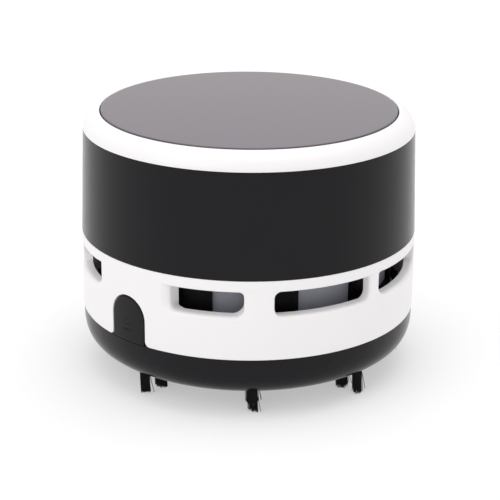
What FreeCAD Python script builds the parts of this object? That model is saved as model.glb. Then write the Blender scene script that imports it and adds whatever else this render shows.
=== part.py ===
import FreeCAD, Part
import math
import os

from FreeCAD import Vector

# Desktop mini vacuum cleaner, in millimetres.
# The origin is on the desk under the middle of the body, +Z is up and the release latch faces -Y.
# Angles on the body are counted in degrees from the latch, positive towards +X.

# ---------------------------------------------------------------- outside of the body
body_r = 43.0                 # widest radius, at the vent shell
body_wall = 2.6               # wall of the vent shell
parting_gap = 0.15            # shadow line between the dust tray and the vent shell
running_gap = 0.3             # between pieces that slide past each other
fit_gap = 0.05                # between pieces that are pushed together
seat_gap = 0.1                # between pieces that rest against each other through a soft face
edge_round = 0.3
root = 0.5                    # how far ribs and posts start inside what carries them
over = 1.0                    # how far cutters run past a face
small = 0.01                  # for comparing levels and directions
cross_half_width = 0.22       # screw slots, as shares of the head's radius
cross_half_length = 0.6
cross_depth = 0.45            # as a share of the head's height

# ---------------------------------------------------------------- bristles and dust tray
bristle_reach = 4.05          # from the desk to the tray's underside
tray_height = 11.7            # from the underside to the rim
tray_corner_run = 19.9        # from the flat middle of the underside out to the rim
tray_power = 0.6              # exponent of the rounded corner, smaller is squarer
tray_wall = 1.8
tray_corner_points = 12
tray_rim_inset = 0.1          # the rim is this much inside the vent shell
lip_wall = 1.5                # lip that stands up inside the vent shell
lip_height = 4.65
tray_shoulder_drop = 2.75     # solid shoulder under the lip
gusset_count = 6              # ribs inside the lip that carry the filter
gusset_width = 1.4
gusset_reach = 2.4
gusset_height = 2.45          # above the rim
gusset_drop = 3.3             # below the rim
tuft_count = 8
outer_tuft_inset = 5.3        # from the tray's edge to the tufts' middle
outer_tuft_r = 1.3
outer_tuft_root = 2.95        # from the tray's underside up into the tray
tuft_row_step = 5.2           # between the two rings of tufts
inner_tuft_r = 1.6
inner_tuft_root = 2.4
tuft_boss_wall = 0.9
tuft_boss_height = 3.5        # above the underside
intake_r = 6.8                # clear radius of the intake tube
intake_wall = 1.2
intake_height = 9.5
intake_chamfer = 0.6
intake_flange_r = 10.4
intake_flange_t = 1.15

# ---------------------------------------------------------------- filter
filter_gap = 0.7              # around the filter frame
filter_frame_height = 2.0
filter_rim_width = 4.5
filter_seat_width = 1.9       # part of the rim under the mesh
filter_floor = 1.0
filter_spokes = 4
filter_spoke_width = 2.0
filter_hub_r = 5.0
filter_mesh_t = 0.4
seal_height = 2.2
seal_width = 1.8
seal_inset = 0.2              # from the cage's outside

# ---------------------------------------------------------------- release latch
latch_half_width = 5.45
latch_straight = 6.5          # height of the straight sides, under the round top
latch_plate_t = 1.5
latch_side_gap = 0.25
latch_top_gap = 0.12          # added to the side gap over the round top
notch_corner_r = 1.35         # rounded lower corners of the notch in the vent shell
notch_corner_gap = 0.2        # to the tray's shoulders that fill those corners
notch_depth = 8.6             # cutters for the latch and its notch, from outside the body
latch_block_half_width = 2.6
latch_block_top = 10.25       # above the tray's rim
latch_arm_top = 14.2
hinge_pin_r = 0.6
hinge_pin_inset = 3.1         # from the body's surface
hinge_pin_height = 2.05       # above the tray's rim
hinge_pin_half_length = 5.0
hinge_ear_gap = 0.3
hinge_ear_height = 3.1
hinge_ear_front = 0.55        # from the back of the latch's plate, on the middle line
hinge_ear_back = 1.2          # behind the pin's axis
hinge_bore_gap = 0.04
latch_foot_gap = 0.85         # under the block
latch_mark_depth = 0.2
latch_mark_width = 2.4
latch_mark_bar_z = 3.0        # above the tray's rim
latch_mark_bar_t = 0.45
latch_mark_arrow_z = 4.6
latch_mark_arrow_h = 1.9
leaf_t = 0.25                 # latch spring, a bent leaf
leaf_half_width = 2.0
leaf_height = 7.8
leaf_foot = 1.3

# ---------------------------------------------------------------- vent windows
window_height = 6.2
window_head = 2.8             # band above the windows
window_corner_r = 1.8
window_spans = [(17.8, 42.0), (51.7, 87.4), (92.6, 128.3), (138.0, 162.2)]
scoop_spans = [(14.2, 42.0), (51.7, 90.0), (90.0, 128.3), (138.0, 165.8)]
scoop_depth = 1.2
scoop_half_height = 4.3
scoop_rise = 3.4              # scoop's middle above the window's sill
flange_t = 2.0
flange_width = 3.8
spigot_wall = 1.5             # lip that locates the sleeve
spigot_height = 3.2
spigot_gap = 0.2

# ---------------------------------------------------------------- exhaust cage and mesh
cage_gap = 3.2                # between the vent shell and the cage
cage_pillar_t = 1.0
cage_pillar_count = 11
cage_pillar_angle = 8.9       # degrees covered by one pillar
cage_first_pillar = 57.85     # degrees
cage_screen_angle = 29.5      # degrees to each side of the latch where the cage is closed
cage_ring_width = 2.8
cage_bottom_t = 1.8
cage_ledge_t = 0.5
cage_ledge_width = 1.2
cage_top_t = 1.5
cage_spigot_height = 1.7
mesh_t = 0.55

# ---------------------------------------------------------------- fan
inlet_plate_t = 1.3
inlet_hole_r = 12.0
fan_gap_below = 1.0
fan_gap_above = 0.5
fan_tip_gap = 3.1             # from the blades to the mesh
fan_blades = 9
fan_blade_t = 1.0
fan_blade_shy = 0.2           # blade tips inside the back plate's edge
fan_blade_height = 4.2
fan_blade_root_r = 9.0
fan_blade_bow = 3.5
fan_plate_t = 1.1
fan_hub_r = 4.5
fan_hub_drop = 0.6            # hub below the blades
fan_hub_gap = 0.1             # from the hub to the motor's boss

# ---------------------------------------------------------------- motor
motor_r = 12.2
motor_height = 12.3
motor_wall = 0.8
motor_boss_r = 3.5
motor_boss_proud = 0.1        # boss below the deck
motor_shaft_r = 1.0
shaft_running_gap = 0.02
shaft_tip_drop = 0.4          # shaft end below the fan's hub
shaft_end_drop = 0.2          # other end, below the end cap's top
bushing_wall = 1.5
endcap_t = 1.6
armature_gap = 0.95           # to the magnets
armature_lift = 1.6           # above the inside of the can's front
armature_core_r = 2.6
armature_slot = 1.6
commutator_r = 2.2
commutator_height = 1.4
commutator_gap = 0.1          # to the end cap
magnet_t = 2.2
magnet_lift = 0.6
magnet_headroom = 0.5         # under the end cap
magnet_angle = 130.0
motor_screw_orbit = 8.5
motor_screw_r = 1.0
motor_screw_head_r = 1.9
motor_screw_shy = 0.25        # from the screw's end to the inside of the can's floor
terminal_t = 0.3
terminal_half_width = 0.8
terminal_inner_inset = 5.6    # from the motor's outside
terminal_outer_inset = 1.7
terminal_room = 1.1           # between the motor and the battery tray

# ---------------------------------------------------------------- motor deck
deck_floor_t = 1.4
deck_rim_t = 1.6
deck_wall = 1.4
deck_depth = 5.1              # from the floor's underside up to the flange
deck_wall_gap = 0.5           # to the cage's ring
deck_collar_wall = 1.5
deck_collar_height = 3.4
deck_boss_gap = 0.5
housing_screw_angles = [47.0, 133.0, -133.0, -47.0]
housing_screw_r = 0.85
housing_screw_head_r = 1.5
housing_screw_head_h = 1.1
housing_screw_length = 5.5
housing_boss_r = 1.7
housing_boss_height = 4.6
deck_ear_half_width = 2.6
deck_ear_gap = 0.3
deck_post_r = 2.4
deck_post_inset = 1.15        # from the rim
deck_post_angles = [32.0, 148.0, -148.0, -32.0]
tray_screw_r = 1.0
tray_screw_head_r = 1.9
tray_screw_head_h = 1.2
tray_screw_length = 8.0

# ---------------------------------------------------------------- battery bay
cell_r = 7.1                  # size AA
cell_length = 50.5
cell_nub_r = 2.75
cell_nub_length = 1.2
bay_floor_t = 1.2
bay_floor_gap = 0.4           # to the sleeve
bay_cell_gap = 0.1
bay_spring_length = 4.65
bay_end_wall = 1.5
bay_end_height = 11.0
bay_side_gap = 0.3
bay_side_wall = 1.4
bay_side_height = 6.5
bay_inner_half_gap = 4.5      # half the width of the middle channel
bay_inner_wall = 1.0
bay_inner_height = 5.0
bay_inner_start = 6.0
bay_inner_end_gap = 1.575     # to the contacts
bay_inner_gap = 0.4           # from the inner walls to the cells, at the cells' widest
contact_t = 0.4
contact_margin = 0.6
contact_split = 1.2
contact_lift = 0.3
contact_height = 10.3
coil_r = 3.6
coil_wire_r = 0.4
coil_turns = 2.5
board_half_length = 17.0
board_t = 1.2
board_lift = 1.6
board_rib_inset = 6.0         # from the board's ends
board_rib_t = 1.5
switch_half_width = 3.5
switch_height = 7.0
switch_wall_below = 1.0
plunger_half_width = 1.6
plunger_length = 7.8
plunger_reach = 3.5           # above the switch
plunger_gap = 0.1
lead_r = 0.55
lead_bend_r = 1.2
lead_slot_half_width = 1.2
motor_lead_inset = 3.0        # from the board's ends
battery_lead_inset = 1.5
battery_lead_y = 2.6
battery_lead_rise = 1.7
bay_headroom = 0.8

# ---------------------------------------------------------------- sleeve
sleeve_inset = 0.05           # bottom edge, inside the vent shell's surface
sleeve_draft = 0.85           # taper from the bottom edge to the top edge
sleeve_wall = 1.9
sleeve_ledge_t = 1.2
sleeve_ledge_width = 1.5

# ---------------------------------------------------------------- top bezel and power button
bezel_floor_t = 1.6
bezel_floor_drop = 0.5        # floor below the sleeve's top edge
bezel_width = 4.25
bezel_power = 1.15            # exponent of the rounded shoulder
bezel_corner_points = 9
skirt_wall = 1.55
skirt_drop = 4.0
skirt_gap = 0.35
button_t = 1.6
button_proud = 0.2
button_boss_r = 3.5
button_travel = 1.5
button_stem_r = 1.6
button_stem_inset = 4.05      # from the button's edge
button_stem_angles = [0.0, 90.0, 180.0, 270.0]
button_hook_r = 2.2
button_hook_h = 1.2
button_hole_gap = 0.3

# ---------------------------------------------------------------- levels, from the desk up
tray_bottom_z = bristle_reach
tray_rim_z = tray_bottom_z + tray_height
shell_bottom_z = tray_rim_z + parting_gap
filter_z = tray_rim_z + gusset_height
filter_top_z = filter_z + filter_frame_height
cage_bottom_z = filter_top_z + seal_height
inlet_plate_z = cage_bottom_z + cage_ledge_t
blade_bottom_z = inlet_plate_z + inlet_plate_t + fan_gap_below
fan_plate_z = blade_bottom_z + fan_blade_height
fan_top_z = fan_plate_z + fan_plate_t
deck_floor_z = fan_top_z + fan_gap_above
shell_top_z = deck_floor_z + deck_depth
window_head_z = shell_top_z - window_head
window_sill_z = window_head_z - window_height
flange_bottom_z = shell_top_z - flange_t
deck_rim_top_z = shell_top_z + deck_rim_t
motor_z = deck_floor_z + deck_floor_t
motor_top_z = motor_z + motor_height
bay_floor_z = motor_top_z + terminal_room
bay_z = bay_floor_z + bay_floor_t
cell_z = bay_z + bay_cell_gap + cell_r
bezel_floor_z = cell_z + cell_r + bay_headroom
sleeve_top_z = bezel_floor_z + bezel_floor_drop
bezel_recess_z = bezel_floor_z + bezel_floor_t
button_z = bezel_recess_z + button_travel + running_gap
button_top_z = button_z + button_t
bezel_top_z = button_top_z - button_proud
board_z = bay_z + board_lift
switch_z = board_z + board_t
switch_top_z = switch_z + switch_height
plunger_top_z = switch_top_z + plunger_reach

# ---------------------------------------------------------------- sizes that follow from the values above
shell_inner_r = body_r - body_wall
tray_r = body_r - tray_rim_inset
tray_flat_r = tray_r - tray_corner_run
outer_tuft_orbit = tray_r - outer_tuft_inset
inner_tuft_orbit = outer_tuft_orbit - tuft_row_step
lip_outer_r = shell_inner_r - running_gap
lip_inner_r = lip_outer_r - lip_wall
filter_r = lip_inner_r - filter_gap
latch_back_r = lip_inner_r + running_gap
flange_inner_r = shell_inner_r - flange_width
cage_r = shell_inner_r - cage_gap
seal_outer_r = cage_r - seal_inset
cage_ring_inner_r = cage_r - cage_ring_width
pillar_inner_r = cage_r - cage_pillar_t
mesh_outer_r = pillar_inner_r - fit_gap
mesh_inner_r = mesh_outer_r - mesh_t
fan_r = mesh_inner_r - fan_tip_gap
inlet_plate_r = cage_ring_inner_r - fit_gap
deck_wall_outer_r = cage_ring_inner_r - deck_wall_gap
deck_wall_inner_r = deck_wall_outer_r - deck_wall
sleeve_bottom_r = body_r - sleeve_inset
sleeve_top_r = sleeve_bottom_r - sleeve_draft
sleeve_bottom_inner_r = sleeve_bottom_r - sleeve_wall
sleeve_top_inner_r = sleeve_top_r - sleeve_wall
spigot_outer_r = sleeve_bottom_inner_r - spigot_gap
spigot_inner_r = spigot_outer_r - spigot_wall
deck_rim_r = spigot_inner_r - running_gap
deck_ear_r = shell_inner_r
deck_post_orbit = deck_rim_r - deck_post_r - deck_post_inset
housing_boss_orbit = shell_inner_r - housing_boss_r + running_gap
skirt_outer_r = sleeve_top_inner_r - skirt_gap
skirt_inner_r = skirt_outer_r - skirt_wall
bezel_inner_r = sleeve_top_r - bezel_width
button_r = bezel_inner_r - running_gap
button_stem_orbit = button_r - button_stem_inset
magnet_outer_r = motor_r - motor_wall - fit_gap
armature_r = magnet_outer_r - magnet_t - armature_gap
bushing_r = motor_shaft_r + bushing_wall
motor_boss_height = deck_floor_t + motor_boss_proud
terminal_inner_x = motor_r - terminal_inner_inset
terminal_outer_x = motor_r - terminal_outer_inset
motor_room = motor_height - motor_wall - endcap_t        # between the can's floor and the end cap
magnet_height = motor_room - magnet_lift - magnet_headroom
armature_height = motor_room - armature_lift - commutator_height - commutator_gap
motor_screw_length = deck_floor_t + motor_wall - fit_gap - motor_screw_shy
fan_hub_rise = fan_gap_above - motor_boss_proud - fan_hub_gap
terminal_rise = lead_r + fit_gap - 0.5 * terminal_t      # the lead just clears the motor
cell_offset = bay_inner_half_gap + bay_inner_wall + bay_inner_gap + cell_r
bay_end_x = 0.5 * (cell_length + bay_spring_length) + contact_t
bay_inner_end = bay_end_x - contact_t - bay_inner_end_gap
bay_side_y = cell_offset + cell_r + bay_side_gap
board_half_width = bay_inner_half_gap - running_gap
board_rib_x = board_half_length - board_rib_inset
motor_lead_x = board_half_length - motor_lead_inset
battery_lead_x = board_half_length - battery_lead_inset
latch_round_z = shell_bottom_z + latch_straight + fit_gap
hinge_y = hinge_pin_inset - body_r
hinge_z = tray_rim_z + hinge_pin_height
sleeve_taper = (sleeve_bottom_inner_r - sleeve_top_inner_r) / (sleeve_top_z - shell_top_z)


# ---------------------------------------------------------------- building blocks
def cylinder(r, z_low, z_high, x=0.0, y=0.0):
    """Upright cylinder between two levels."""
    return Part.makeCylinder(r, z_high - z_low, Vector(x, y, z_low))


def ring(r_in, r_out, z_low, z_high, x=0.0, y=0.0):
    """Upright ring between two levels."""
    return cylinder(r_out, z_low, z_high, x, y).cut(cylinder(r_in, z_low, z_high, x, y))


def block(x_low, x_high, y_low, y_high, z_low, z_high):
    """Box between two corners."""
    size = (x_high - x_low, y_high - y_low, z_high - z_low)
    return Part.makeBox(size[0], size[1], size[2], Vector(x_low, y_low, z_low))


def rod_x(r, x_low, x_high, y, z):
    """Cylinder along X."""
    return Part.makeCylinder(r, x_high - x_low, Vector(x_low, y, z), Vector(1, 0, 0))


def turned(points):
    """Solid turned about Z from a closed outline of (radius, height) points."""
    corners = [Vector(r, 0, z) for r, z in points]
    outline = Part.makePolygon(corners + [corners[0]])
    return Part.Face(outline).revolve(Vector(0, 0, 0), Vector(0, 0, 1), 360)


def turned_edges(edges):
    """Solid turned about Z from the edges of a closed outline in the XZ plane."""
    return Part.Face(Part.Wire(edges)).revolve(Vector(0, 0, 0), Vector(0, 0, 1), 360)


def corner_curve(r_flat, r_wide, z_flat, z_wide, power, count):
    """Rounded corner from an upright wall at r_wide to a flat at z_flat, as a smooth curve."""
    points = []
    for i in range(count + 1):
        turn = math.radians(90.0 * i / count)
        across = max(math.cos(turn), 0.0) ** power
        along = math.sin(turn) ** power
        points.append(Vector(r_flat + (r_wide - r_flat) * across, 0,
                             z_wide + (z_flat - z_wide) * along))
    curve = Part.BSplineCurve()
    curve.interpolate(points)
    return curve.toShape()


def line(r1, z1, r2, z2):
    """Straight edge of an outline in the XZ plane."""
    return Part.LineSegment(Vector(r1, 0, z1), Vector(r2, 0, z2)).toShape()


def at_angle(shape, degrees):
    """Copy of a shape, modelled at the latch on -Y, turned about Z towards +X."""
    copy = shape.copy()
    copy.rotate(Vector(0, 0, 0), Vector(0, 0, 1), degrees)
    return copy


def spot(orbit, degrees):
    """Point at an angle from the latch."""
    turn = math.radians(degrees)
    return orbit * math.sin(turn), -orbit * math.cos(turn)


def sector(r_in, r_out, z_low, z_high, start, end):
    """Part of a ring between two angles from the latch."""
    whole = Part.makeCylinder(r_out, z_high - z_low, Vector(0, 0, z_low), Vector(0, 0, 1), end - start)
    bore = Part.makeCylinder(r_in, z_high - z_low, Vector(0, 0, z_low), Vector(0, 0, 1), end - start)
    piece = whole.cut(bore)
    piece.rotate(Vector(0, 0, 0), Vector(0, 0, 1), start - 90.0)
    return piece


def span(side, near, far):
    """Low and high end of a stretch on one side of the middle."""
    return sorted((side * near, side * far))


def group(solids):
    """Several separate solids in one node."""
    return Part.makeCompound(solids)


def joined(solids):
    """One solid from pieces that overlap or touch."""
    return solids[0].multiFuse(solids[1:]).removeSplitter()


def tube_along(points, r, bend):
    """Round lead along straight runs joined by tangent arcs."""
    edges = []
    start = points[0]
    for before, corner, after in zip(points, points[1:], points[2:]):
        back = (before - corner).normalize()
        on = (after - corner).normalize()
        half = 0.5 * back.getAngle(on)
        trim = bend / math.tan(half)
        arc_start = corner + back * trim
        arc_end = corner + on * trim
        middle = (back + on).normalize()
        arc_mid = corner + middle * (bend / math.sin(half) - bend)
        edges.append(Part.LineSegment(start, arc_start).toShape())
        edges.append(Part.Arc(arc_start, arc_mid, arc_end).toShape())
        start = arc_end
    edges.append(Part.LineSegment(start, points[-1]).toShape())
    direction = points[1] - points[0]
    section = Part.Wire(Part.Circle(points[0], direction, r).toShape())
    return Part.Wire(edges).makePipeShell([section], True, True)


def pan_screw(x, y, seat_z, r, length, head_r, head_h):
    """Pan-head screw that points down, with a cross slot."""
    shank = cylinder(r, seat_z - length, seat_z, x, y)
    head = cylinder(head_r, seat_z, seat_z + head_h, x, y)
    slot = cross_half_width * head_r
    arm = cross_half_length * head_r
    top = seat_z + head_h
    low = top - cross_depth * head_h
    screw = joined([shank, head])
    for half_x, half_y in ((arm, slot), (slot, arm)):
        screw = screw.cut(block(x - half_x, x + half_x, y - half_y, y + half_y, low, top))
    return screw


# ---------------------------------------------------------------- dust tray and what it carries
def tuft_spots(orbit):
    return [spot(orbit, 360.0 * i / tuft_count) for i in range(tuft_count)]


def tray_bowl():
    """Bowl with rounded corners and the lip that stands up inside the vent shell."""
    hole_r = intake_r + intake_wall + fit_gap
    floor_z = tray_bottom_z + tray_wall
    shoulder_z = tray_rim_z - tray_shoulder_drop
    lip_z = tray_rim_z + lip_height
    outside = corner_curve(tray_flat_r, tray_r, tray_bottom_z, tray_rim_z, tray_power, tray_corner_points)
    inside = corner_curve(tray_flat_r - tray_wall, lip_inner_r, floor_z, shoulder_z,
                          tray_power, tray_corner_points)
    edges = [
        line(hole_r, tray_bottom_z, tray_flat_r, tray_bottom_z),
        outside,
        line(tray_r, tray_rim_z, lip_outer_r, tray_rim_z),
        line(lip_outer_r, tray_rim_z, lip_outer_r, lip_z),
        line(lip_outer_r, lip_z, lip_inner_r, lip_z),
        line(lip_inner_r, lip_z, lip_inner_r, shoulder_z),
        inside,
        line(tray_flat_r - tray_wall, floor_z, hole_r, floor_z),
        line(hole_r, floor_z, hole_r, tray_bottom_z),
    ]
    return turned_edges(Part.__sortEdges__(edges))


def tray_gussets():
    """Ribs inside the lip; the filter frame rests on their tops."""
    rib = block(-0.5 * gusset_width, 0.5 * gusset_width, -lip_inner_r - 0.5 * lip_wall,
                -lip_inner_r + gusset_reach, tray_rim_z - gusset_drop, filter_z)
    step = 360.0 / gusset_count
    return [at_angle(rib, step * (i + 0.5)) for i in range(gusset_count)]


def tray_ears():
    """Two ears that hold the latch's hinge pin."""
    inner = latch_block_half_width + hinge_ear_gap
    ear_front_y = -(body_r - latch_plate_t - hinge_ear_front)
    ears = []
    for side in (-1, 1):
        low, high = span(side, inner, hinge_pin_half_length)
        ears.append(block(low, high, ear_front_y, hinge_y + hinge_ear_back,
                          tray_rim_z - root, tray_rim_z + hinge_ear_height))
    return ears


def tray_shoulders():
    """Small wedges of the rim that fill the rounded corners of the shell's notch."""
    wedges = []
    y = -body_r - over
    near_x = latch_half_width + latch_side_gap
    centre_x = near_x + notch_corner_r
    centre_z = shell_bottom_z + notch_corner_r
    r = notch_corner_r + notch_corner_gap
    low_z = tray_rim_z - root
    near_turn = math.acos((centre_x - near_x) / r)
    far_turn = math.asin((centre_z - tray_rim_z) / r)
    arc = []
    for turn in (near_turn, 0.5 * (near_turn + far_turn), far_turn):
        arc.append((centre_x - r * math.cos(turn), centre_z - r * math.sin(turn)))
    for side in (-1, 1):
        near, middle, far = [Vector(side * x, y, z) for x, z in arc]
        foot = Vector(far.x, y, low_z)
        heel = Vector(near.x, y, low_z)
        edges = [Part.Arc(near, middle, far)]
        for start, end in ((far, foot), (foot, heel), (heel, near)):
            edges.append(Part.LineSegment(start, end))
        face = Part.Face(Part.Wire([edge.toShape() for edge in edges]))
        wedge = face.extrude(Vector(0, notch_depth, 0))
        band = ring(body_r - latch_plate_t, tray_r, low_z - over, centre_z)
        wedges.append(wedge.common(band))
    return wedges


def dust_tray():
    bosses = []
    for x, y in tuft_spots(inner_tuft_orbit):
        bosses.append(cylinder(inner_tuft_r + tuft_boss_wall, tray_bottom_z + tray_wall - root,
                               tray_bottom_z + tuft_boss_height, x, y))
    latch_bay = block(-latch_half_width - latch_side_gap, latch_half_width + latch_side_gap,
                      -body_r - over, -lip_inner_r + gusset_reach + over,
                      tray_rim_z, tray_rim_z + lip_height + over)
    tray = joined([tray_bowl()] + tray_gussets() + bosses)
    tray = joined([tray.cut(latch_bay)] + tray_ears() + tray_shoulders())
    for x, y in tuft_spots(outer_tuft_orbit):
        tray = tray.cut(cylinder(outer_tuft_r + fit_gap, tray_bottom_z - over,
                                 tray_bottom_z + outer_tuft_root + fit_gap, x, y))
    for x, y in tuft_spots(inner_tuft_orbit):
        tray = tray.cut(cylinder(inner_tuft_r + fit_gap, tray_bottom_z - over,
                                 tray_bottom_z + inner_tuft_root + fit_gap, x, y))
    return tray.cut(rod_x(hinge_pin_r + hinge_bore_gap, -body_r, body_r, hinge_y, hinge_z))


def tufts(orbit, r, root):
    """Ring of bristle tufts that stand on the desk."""
    return group([cylinder(r, 0.0, tray_bottom_z + root, x, y) for x, y in tuft_spots(orbit)])


def intake_tube():
    outer_r = intake_r + intake_wall
    floor_z = tray_bottom_z + tray_wall
    top_z = tray_bottom_z + intake_height
    return turned([
        (intake_r + intake_chamfer, tray_bottom_z),
        (outer_r, tray_bottom_z),
        (outer_r, floor_z),
        (intake_flange_r, floor_z),
        (intake_flange_r, floor_z + intake_flange_t),
        (outer_r, floor_z + intake_flange_t),
        (outer_r, top_z),
        (intake_r, top_z),
        (intake_r, tray_bottom_z + intake_chamfer),
    ])


def filter_frame():
    seat_z = filter_z + filter_floor
    rim_inner = filter_r - filter_rim_width
    seat_r = rim_inner + filter_seat_width
    rim = turned([
        (rim_inner, filter_z), (filter_r, filter_z), (filter_r, filter_top_z),
        (seat_r, filter_top_z), (seat_r, seat_z), (rim_inner, seat_z),
    ])
    parts = [rim, cylinder(filter_hub_r, filter_z, seat_z)]
    spoke = block(-0.5 * filter_spoke_width, 0.5 * filter_spoke_width,
                  -rim_inner - root, -0.5 * filter_hub_r, filter_z, seat_z)
    for i in range(filter_spokes):
        parts.append(at_angle(spoke, 360.0 * (i + 0.5) / filter_spokes))
    return joined(parts)


def filter_mesh():
    seat_z = filter_z + filter_floor
    mesh_r = filter_r - filter_rim_width + filter_seat_width - fit_gap
    return cylinder(mesh_r, seat_z, seat_z + filter_mesh_t)


def tray_seal():
    return ring(seal_outer_r - seal_width, seal_outer_r, filter_top_z, cage_bottom_z - seat_gap)


# ---------------------------------------------------------------- release latch
def latch_outline(half_width, corner_r, low_z, round_z):
    """Face of the latch or of its notch: straight sides, round top and flared lower corners."""
    y = -body_r - over
    foot = half_width + corner_r
    corner_z = shell_bottom_z + corner_r
    edges = []

    def straight(x1, z1, x2, z2):
        edges.append(Part.LineSegment(Vector(x1, y, z1), Vector(x2, y, z2)).toShape())

    def arc(x1, z1, x2, z2, x3, z3):
        edges.append(Part.Arc(Vector(x1, y, z1), Vector(x2, y, z2), Vector(x3, y, z3)).toShape())

    near = corner_r * (1.0 - math.sqrt(0.5))
    if corner_r > 0:
        straight(-foot, low_z, -foot, shell_bottom_z)
        arc(-foot, shell_bottom_z, -half_width - near, shell_bottom_z + near, -half_width, corner_z)
        straight(-half_width, corner_z, -half_width, round_z)
    else:
        straight(-foot, low_z, -half_width, round_z)
    arc(-half_width, round_z, 0, round_z + half_width, half_width, round_z)
    if corner_r > 0:
        straight(half_width, round_z, half_width, corner_z)
        arc(half_width, corner_z, half_width + near, shell_bottom_z + near, foot, shell_bottom_z)
        straight(foot, shell_bottom_z, foot, low_z)
    else:
        straight(half_width, round_z, foot, low_z)
    straight(foot, low_z, -foot, low_z)
    return Part.Face(Part.Wire(edges))


def latch_mark():
    """Plain arrow over a bar, sunk into the latch."""
    y = -body_r - over
    half = 0.5 * latch_mark_width
    bar_z = tray_rim_z + latch_mark_bar_z
    arrow_z = tray_rim_z + latch_mark_arrow_z
    reach = over + latch_mark_depth
    bar = block(-half, half, y, y + reach, bar_z, bar_z + latch_mark_bar_t)
    tip = Vector(0, y, arrow_z + latch_mark_arrow_h)
    corners = [Vector(-half, y, arrow_z), Vector(half, y, arrow_z), tip]
    arrow = Part.Face(Part.makePolygon(corners + [corners[0]])).extrude(Vector(0, reach, 0))
    return [bar, arrow]


def release_latch():
    outline = latch_outline(latch_half_width, 0.0, shell_bottom_z, latch_round_z)
    plate = outline.extrude(Vector(0, notch_depth, 0))
    plate = plate.common(ring(body_r - latch_plate_t, body_r, shell_bottom_z - over, shell_top_z))
    half = latch_block_half_width
    body = block(-half, half, -body_r + latch_plate_t - root, -latch_back_r,
                 tray_rim_z + latch_foot_gap, tray_rim_z + latch_block_top)
    arm = block(-half, half, -lip_outer_r + fit_gap, -latch_back_r,
                tray_rim_z + latch_block_top - root, tray_rim_z + latch_arm_top)
    latch = joined([plate, body, arm])
    latch = latch.cut(rod_x(hinge_pin_r + hinge_bore_gap, -half - over, half + over, hinge_y, hinge_z))
    for mark in latch_mark():
        latch = latch.cut(mark)
    return latch


def latch_pin():
    return rod_x(hinge_pin_r, -hinge_pin_half_length, hinge_pin_half_length, hinge_y, hinge_z)


def latch_spring():
    """Leaf with a foot on the tray's rim; its tip leans on the back of the latch."""
    foot_y = -lip_inner_r
    tip_y = -latch_back_r + fit_gap
    low = tray_rim_z
    high = tray_rim_z + leaf_height
    outline = [
        (foot_y - leaf_foot, low), (foot_y + leaf_t, low), (tip_y + leaf_t, high), (tip_y, high),
        (foot_y, low + leaf_t), (foot_y - leaf_foot, low + leaf_t),
    ]
    corners = [Vector(-leaf_half_width, y, z) for y, z in outline]
    face = Part.Face(Part.makePolygon(corners + [corners[0]]))
    return face.extrude(Vector(2 * leaf_half_width, 0, 0))


# ---------------------------------------------------------------- vent shell
def window_cut(start, end):
    """Opening through the wall, with rounded corners."""
    opening = sector(shell_inner_r - over, body_r + over, window_sill_z, window_head_z, start, end)
    corner_edges = []
    for edge in opening.Edges:
        direction = edge.tangentAt(edge.FirstParameter)
        straight = isinstance(edge.Curve, Part.Line)
        if straight and abs(direction.z) < small:
            corner_edges.append(edge)
    return opening.makeFillet(window_corner_r, corner_edges)


def scoop_cut(start, end):
    """Round-nosed hollow in the surface around a window, flat under the band above it."""
    ball_r = 0.5 * (scoop_half_height ** 2 / scoop_depth + scoop_depth)
    orbit = body_r + ball_r - scoop_depth
    middle_z = window_sill_z + scoop_rise
    nose = math.degrees(scoop_half_height / body_r)
    first = start + nose
    last = end - nose
    circle = Part.Face(Part.Wire(Part.Circle(Vector(orbit, 0, middle_z), Vector(0, 1, 0), ball_r).toShape()))
    groove = circle.revolve(Vector(0, 0, 0), Vector(0, 0, 1), last - first)
    groove.rotate(Vector(0, 0, 0), Vector(0, 0, 1), first - 90.0)
    pieces = [groove]
    for angle in (first, last):
        x, y = spot(orbit, angle)
        pieces.append(Part.makeSphere(ball_r, Vector(x, y, middle_z)))
    below_band = cylinder(orbit + ball_r + over, middle_z - ball_r - over, window_head_z)
    return [piece.common(below_band) for piece in pieces]


def vent_shell():
    shell = turned([
        (shell_inner_r, shell_bottom_z), (body_r, shell_bottom_z), (body_r, shell_top_z),
        (spigot_outer_r, shell_top_z), (spigot_outer_r, shell_top_z + spigot_height),
        (spigot_inner_r, shell_top_z + spigot_height), (spigot_inner_r, shell_top_z),
        (flange_inner_r, shell_top_z), (flange_inner_r, flange_bottom_z), (shell_inner_r, flange_bottom_z),
    ])
    bosses = []
    for angle in housing_screw_angles:
        x, y = spot(housing_boss_orbit, angle)
        bosses.append(cylinder(housing_boss_r, flange_bottom_z - housing_boss_height,
                               flange_bottom_z + root, x, y))
    shell = joined([shell] + bosses)
    ear_slot = block(-deck_ear_half_width - deck_ear_gap, deck_ear_half_width + deck_ear_gap,
                     -spigot_outer_r - over, -spigot_inner_r + over,
                     shell_top_z, shell_top_z + spigot_height + over)
    for angle in housing_screw_angles:
        x, y = spot(housing_boss_orbit, angle)
        shell = shell.cut(at_angle(ear_slot, angle))
        hole_z = deck_rim_top_z - housing_screw_length - running_gap
        shell = shell.cut(cylinder(housing_screw_r + fit_gap, hole_z, shell_top_z + over, x, y))
    for low, high in scoop_spans:
        for start, end in ((low, high), (-high, -low)):
            for piece in scoop_cut(start, end):
                shell = shell.cut(piece)
    for low, high in window_spans:
        for start, end in ((low, high), (-high, -low)):
            shell = shell.cut(window_cut(start, end))
    notch = latch_outline(latch_half_width + latch_side_gap, notch_corner_r, shell_bottom_z - over,
                          latch_round_z + latch_top_gap)
    return shell.cut(notch.extrude(Vector(0, notch_depth, 0)))


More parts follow.
